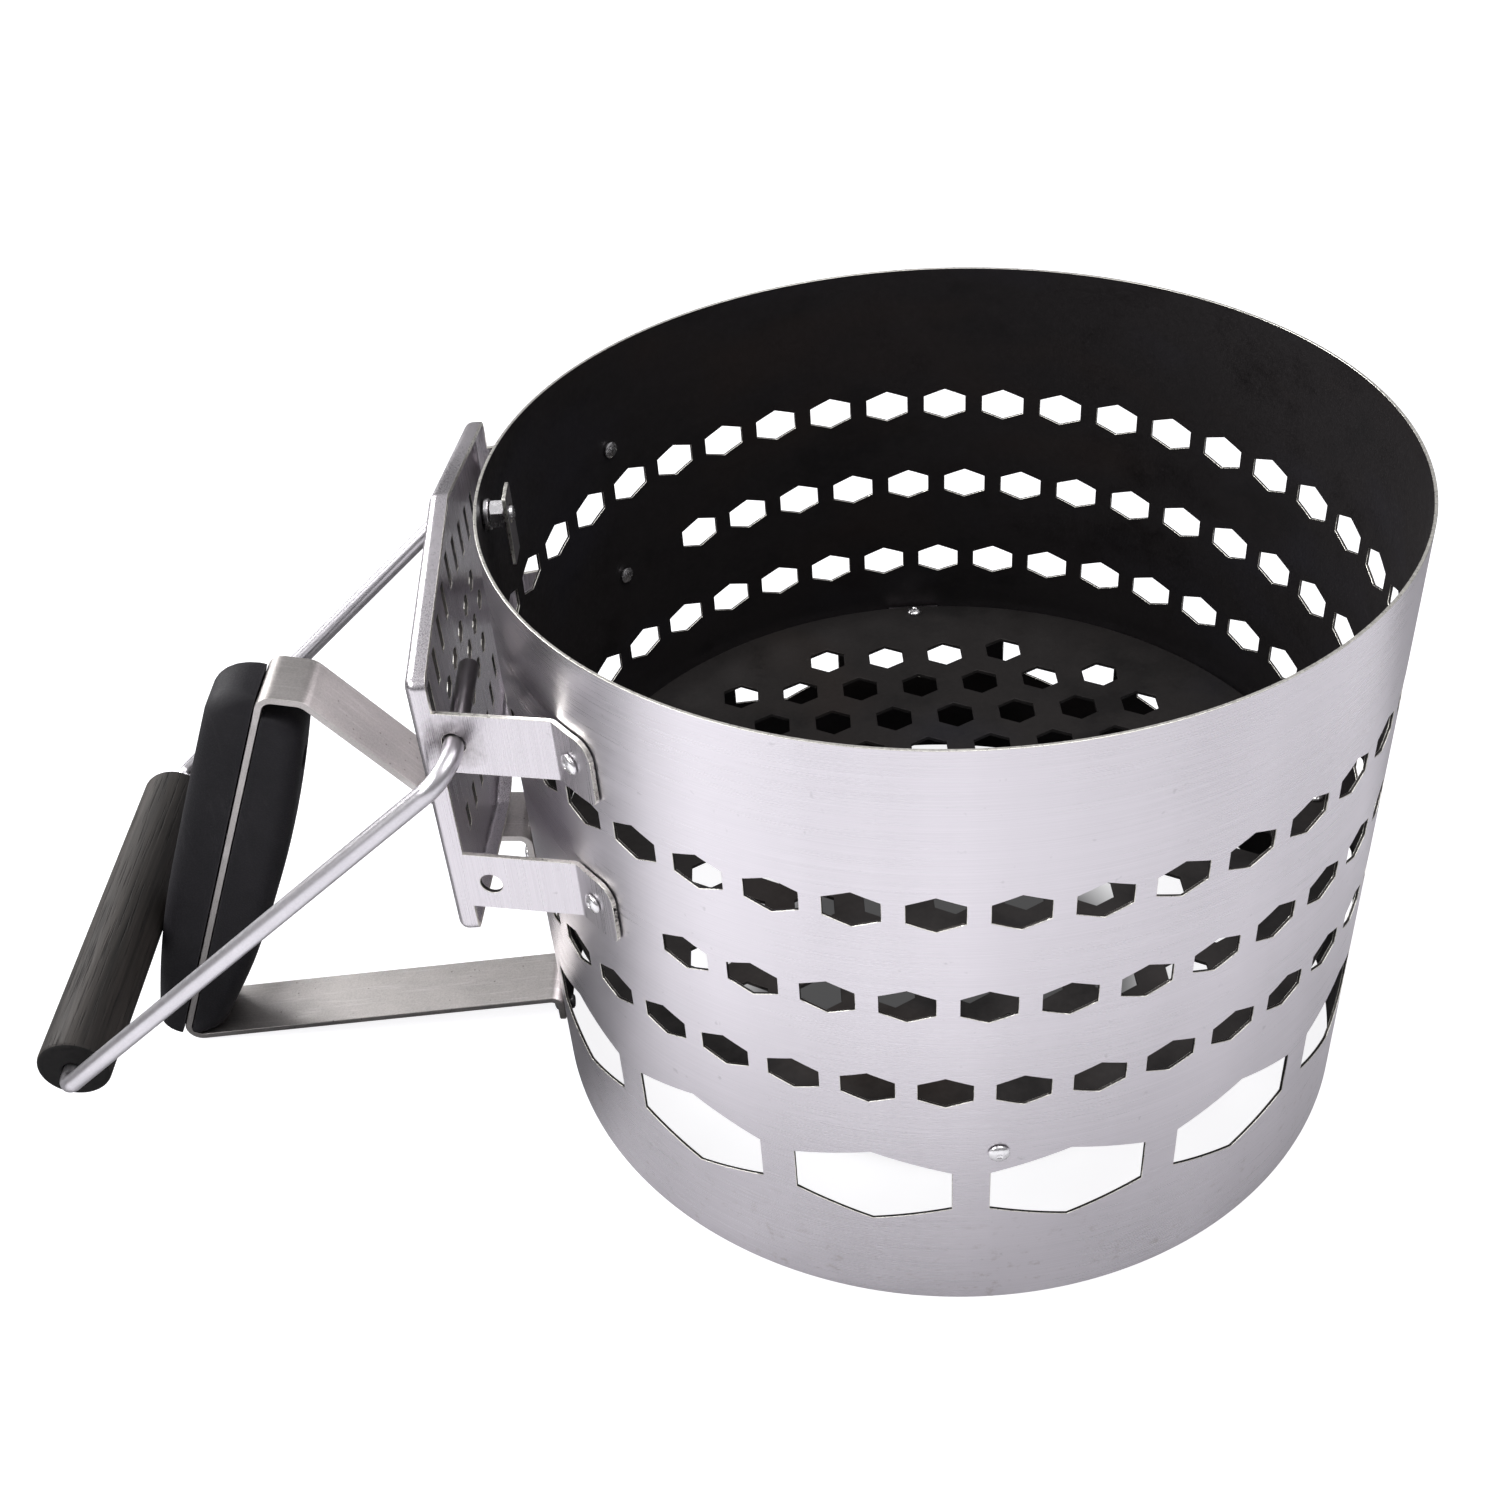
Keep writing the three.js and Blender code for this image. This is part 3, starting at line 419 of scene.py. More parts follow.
class Nodes:
    """A short way to write a material's nodes."""

    def __init__(self, name):
        self.material = bpy.data.materials.new(name)
        self.material.use_nodes = True
        self.tree = self.material.node_tree
        self.shader = self.tree.nodes["Principled BSDF"]

    def new(self, kind, inputs=None, **settings):
        node = self.tree.nodes.new("ShaderNode" + kind)
        for key, value in settings.items():
            setattr(node, key, value)
        for key, value in (inputs or {}).items():
            self.give(node.inputs[key], value)
        return node

    def give(self, socket, value):
        if isinstance(value, bpy.types.NodeSocket):
            self.tree.links.new(value, socket)
        elif isinstance(value, bpy.types.Node):
            self.tree.links.new(value.outputs[0], socket)
        else:
            socket.default_value = value

    def maths(self, operation, a, b=0.0, c=0.0):
        return self.new("Math", {0: a, 1: b, 2: c}, operation=operation).outputs[0]

    def place(self):
        """The point in the CAD frame at rest, measured from the drum's axis."""
        place = self.new("TexCoord").outputs["Object"]
        return self.new("VectorMath", {0: place, 1: (drum_axis, 0, 0)}, operation="SUBTRACT").outputs[0]

    def stretched(self, vector, scale):
        return self.new("VectorMath", {0: vector, 1: scale}, operation="MULTIPLY").outputs[0]

    def noise(self, vector, scale=(1, 1, 1), detail=3.0, rough=0.55, distortion=0.0):
        node = self.new("TexNoise", {"Vector": self.stretched(vector, scale), "Scale": 1.0, "Detail": detail,
                                     "Roughness": rough, "Distortion": distortion})
        return node.outputs["Fac"]

    def between(self, value, low, high, start=0.0, end=1.0):
        return self.new("MapRange", {"Value": value, "From Min": low, "From Max": high,
                                     "To Min": start, "To Max": end}).outputs[0]

    def eased(self, value, low, high, start, end):
        return self.new("MapRange", {"Value": value, "From Min": low, "From Max": high, "To Min": start,
                                     "To Max": end}, interpolation_type="SMOOTHSTEP").outputs[0]

    def mix(self, share, a, b):
        node = self.new("Mix", data_type="RGBA")
        self.give(node.inputs[0], share)
        self.give(node.inputs[6], a if not isinstance(a, tuple) else (*a, 1))
        self.give(node.inputs[7], b if not isinstance(b, tuple) else (*b, 1))
        return node.outputs[2]

    def scaled(self, colour, value):
        node = self.new("VectorMath", {0: colour}, operation="SCALE")
        self.give(node.inputs["Scale"], value)
        return node.outputs[0]

    def bump(self, height, distance, strength):
        return self.new("Bump", {"Height": height, "Distance": distance, "Strength": strength}).outputs[0]

    def finish(self, **inputs):
        for key, value in inputs.items():
            if isinstance(value, tuple) and len(value) == 3 and key == "Base Color":
                value = (*value, 1)
            self.give(self.shader.inputs[key], value)
        return self.material


def brushed_steel(name, colour, roughness, lines, drum=False, streaks=0.10, stain=None):
    """Steel with fine brush lines: lines is the noise's scale, small along them and large across."""
    n = Nodes(name)
    place = n.place()
    if drum:
        parts = n.new("SeparateXYZ", {0: place})
        angle = n.maths("ARCTAN2", parts.outputs[1], parts.outputs[0])
        arc = n.maths("MULTIPLY", angle, DRUM_RADIUS * MM)
        place_lines = n.new("CombineXYZ", {0: arc, 1: 0.0, 2: parts.outputs[2]}).outputs[0]
    else:
        place_lines = place
    fine = n.noise(place_lines, lines, detail=2.0, rough=0.7)
    broad = n.noise(place_lines, tuple(v * 0.16 for v in lines), detail=3.0)
    soft = n.noise(place, (14, 14, 9), detail=3.0)
    marks = n.noise(place, (260, 260, 260), detail=2.0, rough=0.6)
    specks = n.between(marks, 0.70, 0.78)
    tone = n.maths("ADD", n.between(fine, 0.3, 0.7, 1 - streaks, 1 + streaks * 0.6),
                   n.between(broad, 0.3, 0.7, -streaks * 0.18, streaks * 0.15))
    tone = n.maths("ADD", tone, n.between(soft, 0.3, 0.7, -0.035, 0.03))
    if drum:
        # Painted reflection: broad light and dark bands that run up the drum and vary round it.
        painted_reflection_bands = n.noise(n.new("CombineXYZ", {0: arc, 1: 0.0, 2: 0.0}).outputs[0], (16, 1, 1), detail=3.0)
        tone = n.maths("ADD", tone, n.between(painted_reflection_bands, 0.35, 0.65, -0.05, 0.04))
    base = n.scaled(colour, tone)
    base = n.mix(n.maths("MULTIPLY", specks, 0.35), base, tuple(c * 0.55 for c in colour))
    if stain is not None:
        base = stain(n, place, base)
    rough = n.maths("ADD", n.between(fine, 0.3, 0.7, -0.06, 0.07),
                    n.between(soft, 0.3, 0.7, roughness - 0.04, roughness + 0.05))
    inputs = {"Base Color": base, "Metallic": 1.0, "Roughness": rough, "Anisotropic": 0.45,
              "Normal": n.bump(fine, 0.00003, 0.35)}
    if drum:
        inputs["Tangent"] = n.new("Tangent", direction_type="RADIAL", axis="Z").outputs[0]
    return n.finish(**inputs)


def satin_strap(name):
    """Flat bar with a fine speckle, scuffs along its length and a browner tone in its low spots."""
    n = Nodes(name)
    place = n.place()
    speckle = n.noise(place, (1500, 1500, 1500), detail=3.0, rough=0.7)
    blotch = n.noise(place, (32, 60, 32), detail=4.0, rough=0.6)
    scuff = n.between(n.noise(place, (60, 900, 60), detail=2.0), 0.56, 0.72)
    cells = n.new("TexVoronoi", {"Vector": place, "Scale": 240.0}).outputs["Distance"]
    pits = n.between(cells, 0.05, 0.11, 1, 0)
    tone = n.maths("ADD", n.between(speckle, 0.3, 0.7, 0.82, 1.08), n.between(blotch, 0.3, 0.7, -0.12, 0.08))
    base = n.scaled((0.50, 0.475, 0.46), tone)
    base = n.mix(n.maths("MULTIPLY", scuff, 0.3), base, (0.70, 0.68, 0.67))
    base = n.mix(n.maths("MULTIPLY", pits, 0.6), base, (0.12, 0.10, 0.09))
    rough = n.maths("ADD", n.between(speckle, 0.3, 0.7, 0.34, 0.48), n.maths("MULTIPLY", scuff, -0.06))
    height = n.maths("SUBTRACT", speckle, n.maths("MULTIPLY", pits, 0.8))
    return n.finish(**{"Base Color": base, "Metallic": 1.0, "Roughness": rough,
                       "Normal": n.bump(height, 0.00006, 0.5)})


def drawn_wire(name):
    """Round wire with draw lines along it, with painted shade on its ends from their holes inwards, between the
    shield's arms.
    """
    n = Nodes(name)
    place = n.place()
    grain = n.noise(place, (1400, 240, 1400), detail=3.0)
    blotch = n.noise(place, (60, 60, 60), detail=3.0)
    tone = n.maths("ADD", n.between(grain, 0.3, 0.7, 0.94, 1.03), n.between(blotch, 0.3, 0.7, -0.05, 0.04))
    base = n.scaled((0.66, 0.64, 0.67), tone)
    side = n.maths("ABSOLUTE", n.new("SeparateXYZ", {0: place}).outputs[1])
    # Painted shade: the wire's ends from the holes inwards lie in the dark gap between shield and drum.
    painted_shade_between_arms = n.between(side, (SHIELD_HALF_WIDTH + 3) * MM, (SHIELD_HALF_WIDTH - 1) * MM)
    ends = n.maths("MULTIPLY", painted_shade_between_arms, n.between(n.new("SeparateXYZ", {0: place}).outputs[2], 0.16, 0.17))
    base = n.mix(n.maths("MULTIPLY", ends, 0.8), base, (0.11, 0.10, 0.10))
    rough = n.between(grain, 0.3, 0.7, 0.30, 0.36)
    return n.finish(**{"Base Color": base, "Metallic": 1.0, "Roughness": rough,
                       "Normal": n.bump(grain, 0.00002, 0.15)})


def bright_steel(name):
    """Rivets, nuts and screws: pressed bright metal with small dents and tool marks."""
    n = Nodes(name)
    place = n.place()
    dents = n.noise(place, (700, 700, 700), detail=2.0)
    grime = n.between(n.noise(place, (260, 260, 260), detail=3.0), 0.5, 0.75)
    base = n.mix(n.maths("MULTIPLY", grime, 0.35), (0.86, 0.85, 0.86), (0.45, 0.43, 0.42))
    rough = n.between(dents, 0.3, 0.7, 0.16, 0.32)
    return n.finish(**{"Base Color": base, "Metallic": 1.0, "Roughness": rough,
                       "Normal": n.bump(dents, 0.00010, 0.35)})


def cut_edge(name):
    """The bright, slightly yellow line of a cut sheet edge."""
    n = Nodes(name)
    grain = n.noise(n.place(), (900, 900, 900), detail=2.0)
    base = n.mix(n.between(grain, 0.35, 0.65), (0.80, 0.78, 0.72), (0.95, 0.93, 0.86))
    rough = n.between(grain, 0.3, 0.7, 0.25, 0.42)
    return n.finish(**{"Base Color": base, "Metallic": 1.0, "Roughness": rough,
                       "Normal": n.bump(grain, 0.00004, 0.3)})


def sooty_steel(name, dark, light):
    """Steel darkened by fire: soot in soft patches over brushed metal, with a brown and blue heat tint."""
    n = Nodes(name)
    place = n.place()
    patch = n.noise(place, (22, 22, 30), detail=5.0, rough=0.65)
    grain = n.noise(place, (700, 700, 700), detail=3.0)
    tint = n.noise(place, (12, 12, 26), detail=2.0)
    base = n.mix(n.between(patch, 0.35, 0.68), dark, light)
    brown = (light[0] * 1.1, light[1] * 0.8, light[2] * 0.6)
    blue = (light[0] * 0.75, light[1] * 0.85, light[2] * 1.25)
    base = n.mix(n.between(tint, 0.55, 0.75, 0, 0.25), base, brown)
    base = n.mix(n.between(tint, 0.45, 0.25, 0, 0.25), base, blue)
    rough = n.maths("ADD", n.between(patch, 0.35, 0.68, 0.62, 0.40), n.between(grain, 0.3, 0.7, -0.05, 0.05))
    metallic = n.between(patch, 0.35, 0.68, 0.55, 0.95)
    return n.finish(**{"Base Color": base, "Metallic": metallic, "Roughness": rough,
                       "Normal": n.bump(grain, 0.00006, 0.5)})


def black_plastic(name):
    """Moulded matte black: a fine spark texture, faint scuffs and paler rubbed edges."""
    n = Nodes(name)
    place = n.place()
    texture = n.new("TexVoronoi", {"Vector": place, "Scale": 1500.0}).outputs["Distance"]
    blotch = n.noise(place, (45, 45, 45), detail=4.0, rough=0.6)
    scuff = n.between(n.noise(place, (260, 60, 60), detail=3.0, distortion=0.6), 0.60, 0.76)
    edge = n.new("Bevel", {"Radius": 0.0012}, samples=4).outputs[0]
    facing = n.new("VectorMath", {0: edge, 1: n.new("NewGeometry").outputs["Normal"]},
                   operation="DOT_PRODUCT").outputs["Value"]
    worn = n.maths("MULTIPLY", n.between(facing, 0.97, 0.80), n.between(blotch, 0.3, 0.6))
    base = n.mix(n.between(blotch, 0.3, 0.7), (0.007, 0.0065, 0.0085), (0.012, 0.011, 0.0135))
    base = n.mix(n.maths("MULTIPLY", scuff, 0.30), base, (0.040, 0.038, 0.041))
    base = n.mix(n.maths("MULTIPLY", worn, 0.35), base, (0.065, 0.063, 0.066))
    rough = n.maths("ADD", n.between(texture, 0.0, 0.6, 0.52, 0.66), n.maths("MULTIPLY", scuff, 0.08))
    return n.finish(**{"Base Color": base, "Roughness": rough, "Specular IOR Level": 0.25,
                       "Normal": n.bump(texture, 0.00010, 0.45)})


def stained_wood(name):
    """Dark stained wood whose grain runs along the spool, with open pores and a paler worn streak."""
    n = Nodes(name)
    place = n.place()
    grain = n.noise(place, (300, 9, 300), detail=5.0, rough=0.65, distortion=0.25)
    rings = n.noise(place, (85, 4, 85), detail=2.0, distortion=0.5)
    pores = n.between(n.noise(place, (1400, 38, 1400), detail=2.0, rough=0.6), 0.56, 0.68)
    base = n.mix(n.between(grain, 0.32, 0.68), (0.007, 0.0065, 0.006), (0.036, 0.031, 0.028))
    base = n.mix(n.maths("MULTIPLY", n.between(rings, 0.42, 0.66), 0.45), base, (0.066, 0.057, 0.051))
    base = n.mix(n.maths("MULTIPLY", pores, 0.8), base, (0.004, 0.0035, 0.003))
    rough = n.maths("ADD", n.between(grain, 0.3, 0.7, 0.68, 0.54), n.maths("MULTIPLY", pores, 0.15))
    height = n.maths("SUBTRACT", grain, pores)
    return n.finish(**{"Base Color": base, "Roughness": rough, "Specular IOR Level": 0.25,
                       "Normal": n.bump(height, 0.00022, 0.6)})


def shaded_wood_end(name):
    """The spool's end faces: dark end grain, with painted shade that makes them nearly black."""
    n = Nodes(name)
    grain = n.noise(n.place(), (600, 600, 600), detail=4.0)
    # Partly painted shade: the end grain's colour is kept near black.
    base = n.mix(n.between(grain, 0.3, 0.7), (0.004, 0.004, 0.004), (0.012, 0.011, 0.011))
    return n.finish(**{"Base Color": base, "Roughness": n.between(grain, 0.3, 0.7, 0.6, 0.75),
                       "Specular IOR Level": 0.15, "Normal": n.bump(grain, 0.00015, 0.5)})


def heat_marks(n, place, base):
    """Brownish specks near the foot of the drum, as from standing on a grill."""
    height = n.new("SeparateXYZ", {0: place}).outputs[2]
    low = n.between(height, 0.055, 0.004)
    marks = n.between(n.noise(place, (230, 230, 300), detail=4.0, rough=0.65), 0.58, 0.72)
    return n.mix(n.maths("MULTIPLY", n.maths("MULTIPLY", low, marks), 0.45), base, (0.36, 0.31, 0.28))


def pivot_rub(n, place, base):
    """Dark rubbed metal round the holes that the bail turns in."""
    side = n.new("VectorMath", {0: place}, operation="ABSOLUTE").outputs[0]
    hole = (PIVOT_X * MM, SHIELD_HALF_WIDTH * MM, PIVOT_Z * MM)
    away = n.new("VectorMath", {0: side, 1: hole}, operation="DISTANCE").outputs["Value"]
    away = n.maths("ADD", away, n.between(n.noise(place, (500, 500, 500)), 0.3, 0.7, -0.0015, 0.0015))
    return n.mix(n.between(away, 0.0105, 0.0035, 0, 0.7), base, (0.22, 0.20, 0.20))


LAVENDER = (0.71, 0.68, 0.715)   # the drum's bare steel has a cool, faintly violet tone
drum_outside = brushed_steel("drum_outside", LAVENDER, 0.30, (14, 1, 3400), drum=True, streaks=0.07,
                             stain=heat_marks)
drum_inside = sooty_steel("drum_inside", (0.014, 0.012, 0.013), (0.060, 0.054, 0.056))
sheet_edge = cut_edge("sheet_edge")
shield_steel = brushed_steel("shield_steel", (0.66, 0.63, 0.66), 0.28, (3000, 3000, 16), stain=pivot_rub)
bracket_steel = brushed_steel("bracket_steel", (0.50, 0.47, 0.49), 0.38, (2500, 30, 2500))
strap_steel = satin_strap("strap_steel")
wire_steel = drawn_wire("wire_steel")
fastener_steel = bright_steel("fastener_steel")
grate_steel = sooty_steel("grate_steel", (0.018, 0.016, 0.016), (0.085, 0.078, 0.076))
grip_plastic = black_plastic("grip_plastic")
spool_wood = stained_wood("spool_wood")
spool_end_shaded = shaded_wood_end("spool_end_shaded")

# Painted shade: the holes' walls, seen edge-on and in shadow, get near-black sooty steel.
painted_shade_wall = sooty_steel("hole_wall_shade", (0.020, 0.018, 0.018), (0.075, 0.068, 0.064))

SHEET_MATERIALS = [shield_steel, shield_steel, sheet_edge, painted_shade_wall]

# ----------------------------------------------------------------------
# Drum

def drum():
    turn = math.radians(360)
    start = math.radians(DRUM_SEAM)
    reach = DRUM_RADIUS * turn
    first = DRUM_RADIUS * start
    outline = rectangle(first, 0, first + reach, DRUM_HEIGHT)
    holes = []
    for row in HOLE_ROWS:
        for k in range(row["first"], row["first"] + row["count"]):
            angle = math.radians(row["start"] + row["pitch"] * k)
            angle = (angle - start) % turn + start
            holes.append(hexagon(row["hexagon"], (DRUM_RADIUS * angle, row["z"])))
    columns = 160 * FINE
    starts = [first + reach * k / columns for k in range(1, columns)]
    lines = [[(u, 0), (u, DRUM_HEIGHT)] for u in starts]

    def surface(u, z, depth):
        return around(math.degrees(u / DRUM_RADIUS), DRUM_RADIUS - depth, z)

    materials = [drum_outside, drum_inside, sheet_edge, painted_shade_wall]
    obj = sheet("drum_sheet", outline, holes, lines, surface, DRUM_WALL, materials)
    stands_for(obj, "drum_shell")


# ----------------------------------------------------------------------
# Heat shield: one sheet whose rim and arms fold along a shared path

def shield_corners(inset):
    slope = (SHIELD_TOP - SHIELD_SHOULDER) / SHIELD_HALF_WIDTH
    peak = inset * math.sqrt(1 + slope ** 2)
    drop = peak - inset * slope
    w = SHIELD_HALF_WIDTH - inset
    return [
        (w, SHIELD_HIP + drop), (w, SHIELD_SHOULDER - drop), (0, SHIELD_TOP - peak),
        (-w, SHIELD_SHOULDER - drop), (-w, SHIELD_HIP + drop), (0, SHIELD_BOTTOM + peak),
    ]


def shield_loop(radius, steps=8):
    """The core hexagon grown by a radius, with round corners."""
    core = [np.array(c) for c in shield_corners(SHIELD_CORNER)]
    loop = []
    for k, corner in enumerate(core):
        into, out = corner - core[k - 1], core[(k + 1) % 6] - corner
        first = math.atan2(-into[0], into[1])
        last = math.atan2(-out[0], out[1])
        last += 2 * math.pi if last < first else 0
        for i in range(steps + 1):
            angle = first + (last - first) * i / steps
            loop.append((corner[0] + radius * math.cos(angle), corner[1] + radius * math.sin(angle)))
    return loop


def fold_path():
    """The folds' centre line seen from above: over the rim, along the flange and arm, and round the drum."""
    middle = SHIELD_SHEET / 2
    face, side = SHIELD_FACE - middle, SHIELD_HALF_WIDTH - middle
    foot = FOOT_RADIUS + middle
    start = side - SHIELD_FOLD
    corners = [
        ((face, start), 0), ((face, side), SHIELD_FOLD), ((SHIELD_FACE - SHIELD_FLANGE, side), 5.0),
        (around(FOOT_BEND, foot)[:2], 3.0), (around(FOOT_BEND + 3, foot)[:2], 0),
    ]
    line = rounded(corners, 6)
    line += [around(FOOT_BEND + 3 + (FOOT_END - FOOT_BEND - 3) * k / 8, foot)[:2] for k in range(1, 9)]
    return Path([p for k, p in enumerate(line) if k == 0 or np.linalg.norm(p - line[k - 1]) > 1e-6])


def shield_cutouts():
    """A generic pattern of slots and hexagons."""
    holes = []
    for row in SLOT_ROWS:
        half, rise = row["width"] / 2, row["height"] / 2
        for k in range(-row["each"], row["each"] + 1):
            y, z = k * row["pitch"], row["middle"] - abs(k) * row["drop"]
            holes.append(rectangle(y - half, z - rise, y + half, z + rise))
    for row, count in enumerate(HEXAGON_ROWS):
        z = HEXAGON_MIDDLE + (row - (len(HEXAGON_ROWS) - 1) / 2) * HEXAGON_STEP
        holes += [hexagon(SMALL_HEXAGON, ((k - (count - 1) / 2) * HEXAGON_PITCH, z)) for k in range(count)]
    return holes


def nearest_on(polygon, point):
    best = None
    for k, a in enumerate(polygon):
        b = polygon[(k + 1) % len(polygon)]
        edge = b - a
        t = float(np.clip(np.dot(point - a, edge) / np.dot(edge, edge), 0, 1))
        there = a + edge * t
        gap = float(np.linalg.norm(point - there))
        if best is None or gap < best[0]:
            best = (gap, there)
    return best


def shield():
    path = fold_path()
    core = [np.array(c) for c in shield_corners(SHIELD_CORNER)]
    flat_width = SHIELD_HALF_WIDTH - SHIELD_SHEET / 2 - SHIELD_FOLD
    core_radius = SHIELD_CORNER - (SHIELD_HALF_WIDTH - flat_width)
    rim = path.nearest((SHIELD_FACE - SHIELD_FLANGE, SHIELD_HALF_WIDTH - SHIELD_SHEET / 2))
    tip = path.length

    def side_outline(side):
        """The arms' outlines on one side, from the lower arm to the upper one on the +y side."""
        points = []
        for name in ("lower", "upper"):
            low, high = ARM_MIDDLES[name] - ARM_HEIGHT / 2, ARM_MIDDLES[name] + ARM_HEIGHT / 2
            points.append((rim, low))
            for k in range(7):
                a = math.radians(-90 + 15 * k)
                points.append((tip - FOOT_CORNER_BOTTOM + FOOT_CORNER_BOTTOM * math.cos(a),
                               low + FOOT_CORNER_BOTTOM + FOOT_CORNER_BOTTOM * math.sin(a)))
            for k in range(7):
                a = math.radians(15 * k)
                points.append((tip - FOOT_CORNER_TOP + FOOT_CORNER_TOP * math.cos(a),
                               high - FOOT_CORNER_TOP + FOOT_CORNER_TOP * math.sin(a)))
            points.append((rim, high))
        mapped = [(side * (flat_width + s), z) for s, z in points]
        return mapped if side > 0 else mapped[::-1]

    outline = []
    loop = shield_loop(core_radius + rim)
    corner_points = len(loop) // 6
    for k in range(6):
        outline += loop[k * corner_points:(k + 1) * corner_points]
        if k == 0:
            outline += side_outline(1)
        if k == 3:
            outline += side_outline(-1)
    holes = shield_cutouts()
    lines = []
    for s in path.lengths:
        if s < rim - 0.3:
            lines.append(shield_loop(core_radius + s) + shield_loop(core_radius + s)[:1])
        elif s < tip - 0.3:
            for side in (1, -1):
                for middle in ARM_MIDDLES.values():
                    y = side * (flat_width + s)
                    lines.append([(y, middle - ARM_HEIGHT / 2), (y, middle + ARM_HEIGHT / 2)])
    for x, z in ARM_HOLES.values():
        s = path.nearest((x, SHIELD_HALF_WIDTH + 0.6))
        holes += [ring(ARM_HOLE_RADIUS, (side * (flat_width + s), z), 40) for side in (1, -1)]

    def surface(y, z, depth):
        point = np.array([y, z])
        gap, there = nearest_on(core, point)
        if inside(core, point[None])[0] or gap <= core_radius:
            return SHIELD_FACE - depth, y, z
        s, out = gap - core_radius, unit(point - there)
        x, w = path.at(s, SHIELD_SHEET / 2 - depth)
        moved = there + out * (core_radius + w - flat_width)
        return x, moved[0], moved[1]

    obj = sheet("shield_sheet", outline, holes, lines, surface, SHIELD_SHEET, SHEET_MATERIALS)
    stands_for(obj, "heat_shield")


# ----------------------------------------------------------------------
# Strips of sheet bent along a line, the strap and the brackets, and the flat grate

def strip(name, path, width, thickness, materials, locate, holes=(), chamfer=CHAMFER):
    """locate(a, b, across) turns a point of the path's own plane into a local point."""
    half = width / 2
    outline = rectangle(0, -half, path.length, half)
    lines = [[(s, -half), (s, half)] for s in path.lengths[1:-1]]

    def surface(s, across, depth):
        a, b = path.at(s, thickness / 2 - depth)
        return locate(a, b, across)

    return sheet(name, outline, list(holes), lines, surface, thickness, materials, chamfer)


def strap_path():
    return Path(rounded([((x, z), radius) for x, z, radius in STRAP_LINE], 10))


def strap():
    obj = strip("strap_bar", strap_path(), STRAP_WIDTH, STRAP_SHEET, [strap_steel] * 3,
                lambda a, b, across: (a, across, b), chamfer=0.35)
    stands_for(obj, "handle_strap")


def brackets():
    b = BRACKET
    half = b["sheet"] / 2
    shelf, leg = b["shelf"] + half, b["face"] - half
    for name, angle in BRACKETS.items():
        end = b["shelf"] + b["rise"] if name == "front" else b["shelf"] + b["sheet"] - b["drop"]
        path = Path(rounded([((b["reach"], shelf), 0), ((leg, shelf), 1.6), ((leg, end), 0)], 6))

        def locate(radius, z, across, angle=angle):
            return around(angle, radius, z, across)

        obj = strip(f"bracket_{name}", path, b["width"], b["sheet"], [bracket_steel] * 3, locate)
        stands_for(obj, f"grate_bracket_{name}")


def grate():
    holes = []
    row_height = GRATE_PITCH * math.sqrt(3) / 2
    span = math.ceil(GRATE_LIMIT / row_height)
    for row in range(-span, span + 1):
        for column in range(-span, span + 1):
            x, y = (column + abs(row) % 2 / 2) * GRATE_PITCH, row * row_height
            if math.hypot(x, y) <= GRATE_LIMIT:
                holes.append(ring(GRATE_HOLE, (x, y), 6, math.pi / 6))
    top = GRATE_LOW + GRATE_SHEET
    obj = sheet("grate_disc", ring(GRATE_RADIUS, count=96 * FINE), holes, [], lambda x, y, d: (x, y, top - d),
                GRATE_SHEET, [grate_steel] * 3)
    stands_for(obj, "charcoal_grate")


# ----------------------------------------------------------------------
# Grip

slant_origin = np.array([STRAP_LINE[2][0], 0, STRAP_LINE[2][1]])
slant_up = unit(np.array([STRAP_LINE[3][0], 0, STRAP_LINE[3][1]]) - slant_origin)
slant_out = np.cross((0, 1, 0), slant_up)


def on_slant(along, out, across=0.0):
    return slant_origin + slant_up * along + slant_out * out + np.array([0, across, 0])


def crowned(half, along):
    fall = half["below"] if along < half["at"] else half["above"]
    return half["most"] - fall * (along - half["at"]) ** 2


def drawn_in(distance, radius):
    near = max(radius - distance, 0.0)
    return radius - math.sqrt(max(radius ** 2 - near ** 2, 0.0))


def grip_rings(half):
    seat = STRAP_SHEET / 2 + GAP
    length = half["end"] - GRIP_START
    count = 10 * FINE
    lower = [GRIP_END_LOWER * (1 - math.cos(math.pi / 2 * k / 6)) for k in range(1, 7)]
    upper = [length - half["upper"] * (1 - math.cos(math.pi / 2 * k / 8)) for k in range(8, 0, -1)]
    body = [GRIP_END_LOWER + (upper[0] - GRIP_END_LOWER) * k / count for k in range(1, count)]
    rings = []
    for along in [0.05] + lower + body + upper + [length - 0.05]:
        inset = drawn_in(along, GRIP_END_LOWER) + drawn_in(length - along, half["upper"])
        reach = crowned(half, GRIP_START + along) - inset
        side = GRIP_WIDTH / 2 - inset * GRIP_TAPER
        radius = min(GRIP_EDGE, reach - seat - GRIP_LEAST_WALL)
        outline = [(-side, seat)]
        for centre, first in ((-(side - radius), 180), (side - radius, 90)):
            for k in range(9):
                a = math.radians(first - 90 * k / 8)
                outline.append((centre + radius * math.cos(a), reach - radius + radius * math.sin(a)))
        outline.append((side, seat))
        lean = half["lean"] * max(0.0, 1 - along / GRIP_LEAN_FADE)
        start = GRIP_START + along
        rings.append([on_slant(start + lean * out, half["side"] * out, across) for across, out in outline])
    return rings


def loft(rings):
    count = len(rings[0])
    points = [p for r in rings for p in r]
    faces = []
    for k in range(len(rings) - 1):
        for i in range(count):
            a, b = k * count + i, k * count + (i + 1) % count
            faces.append([a, b, b + count, a + count])
    faces.append(list(range(count)))
    faces.append([len(points) - count + i for i in range(count)])
    return points, faces


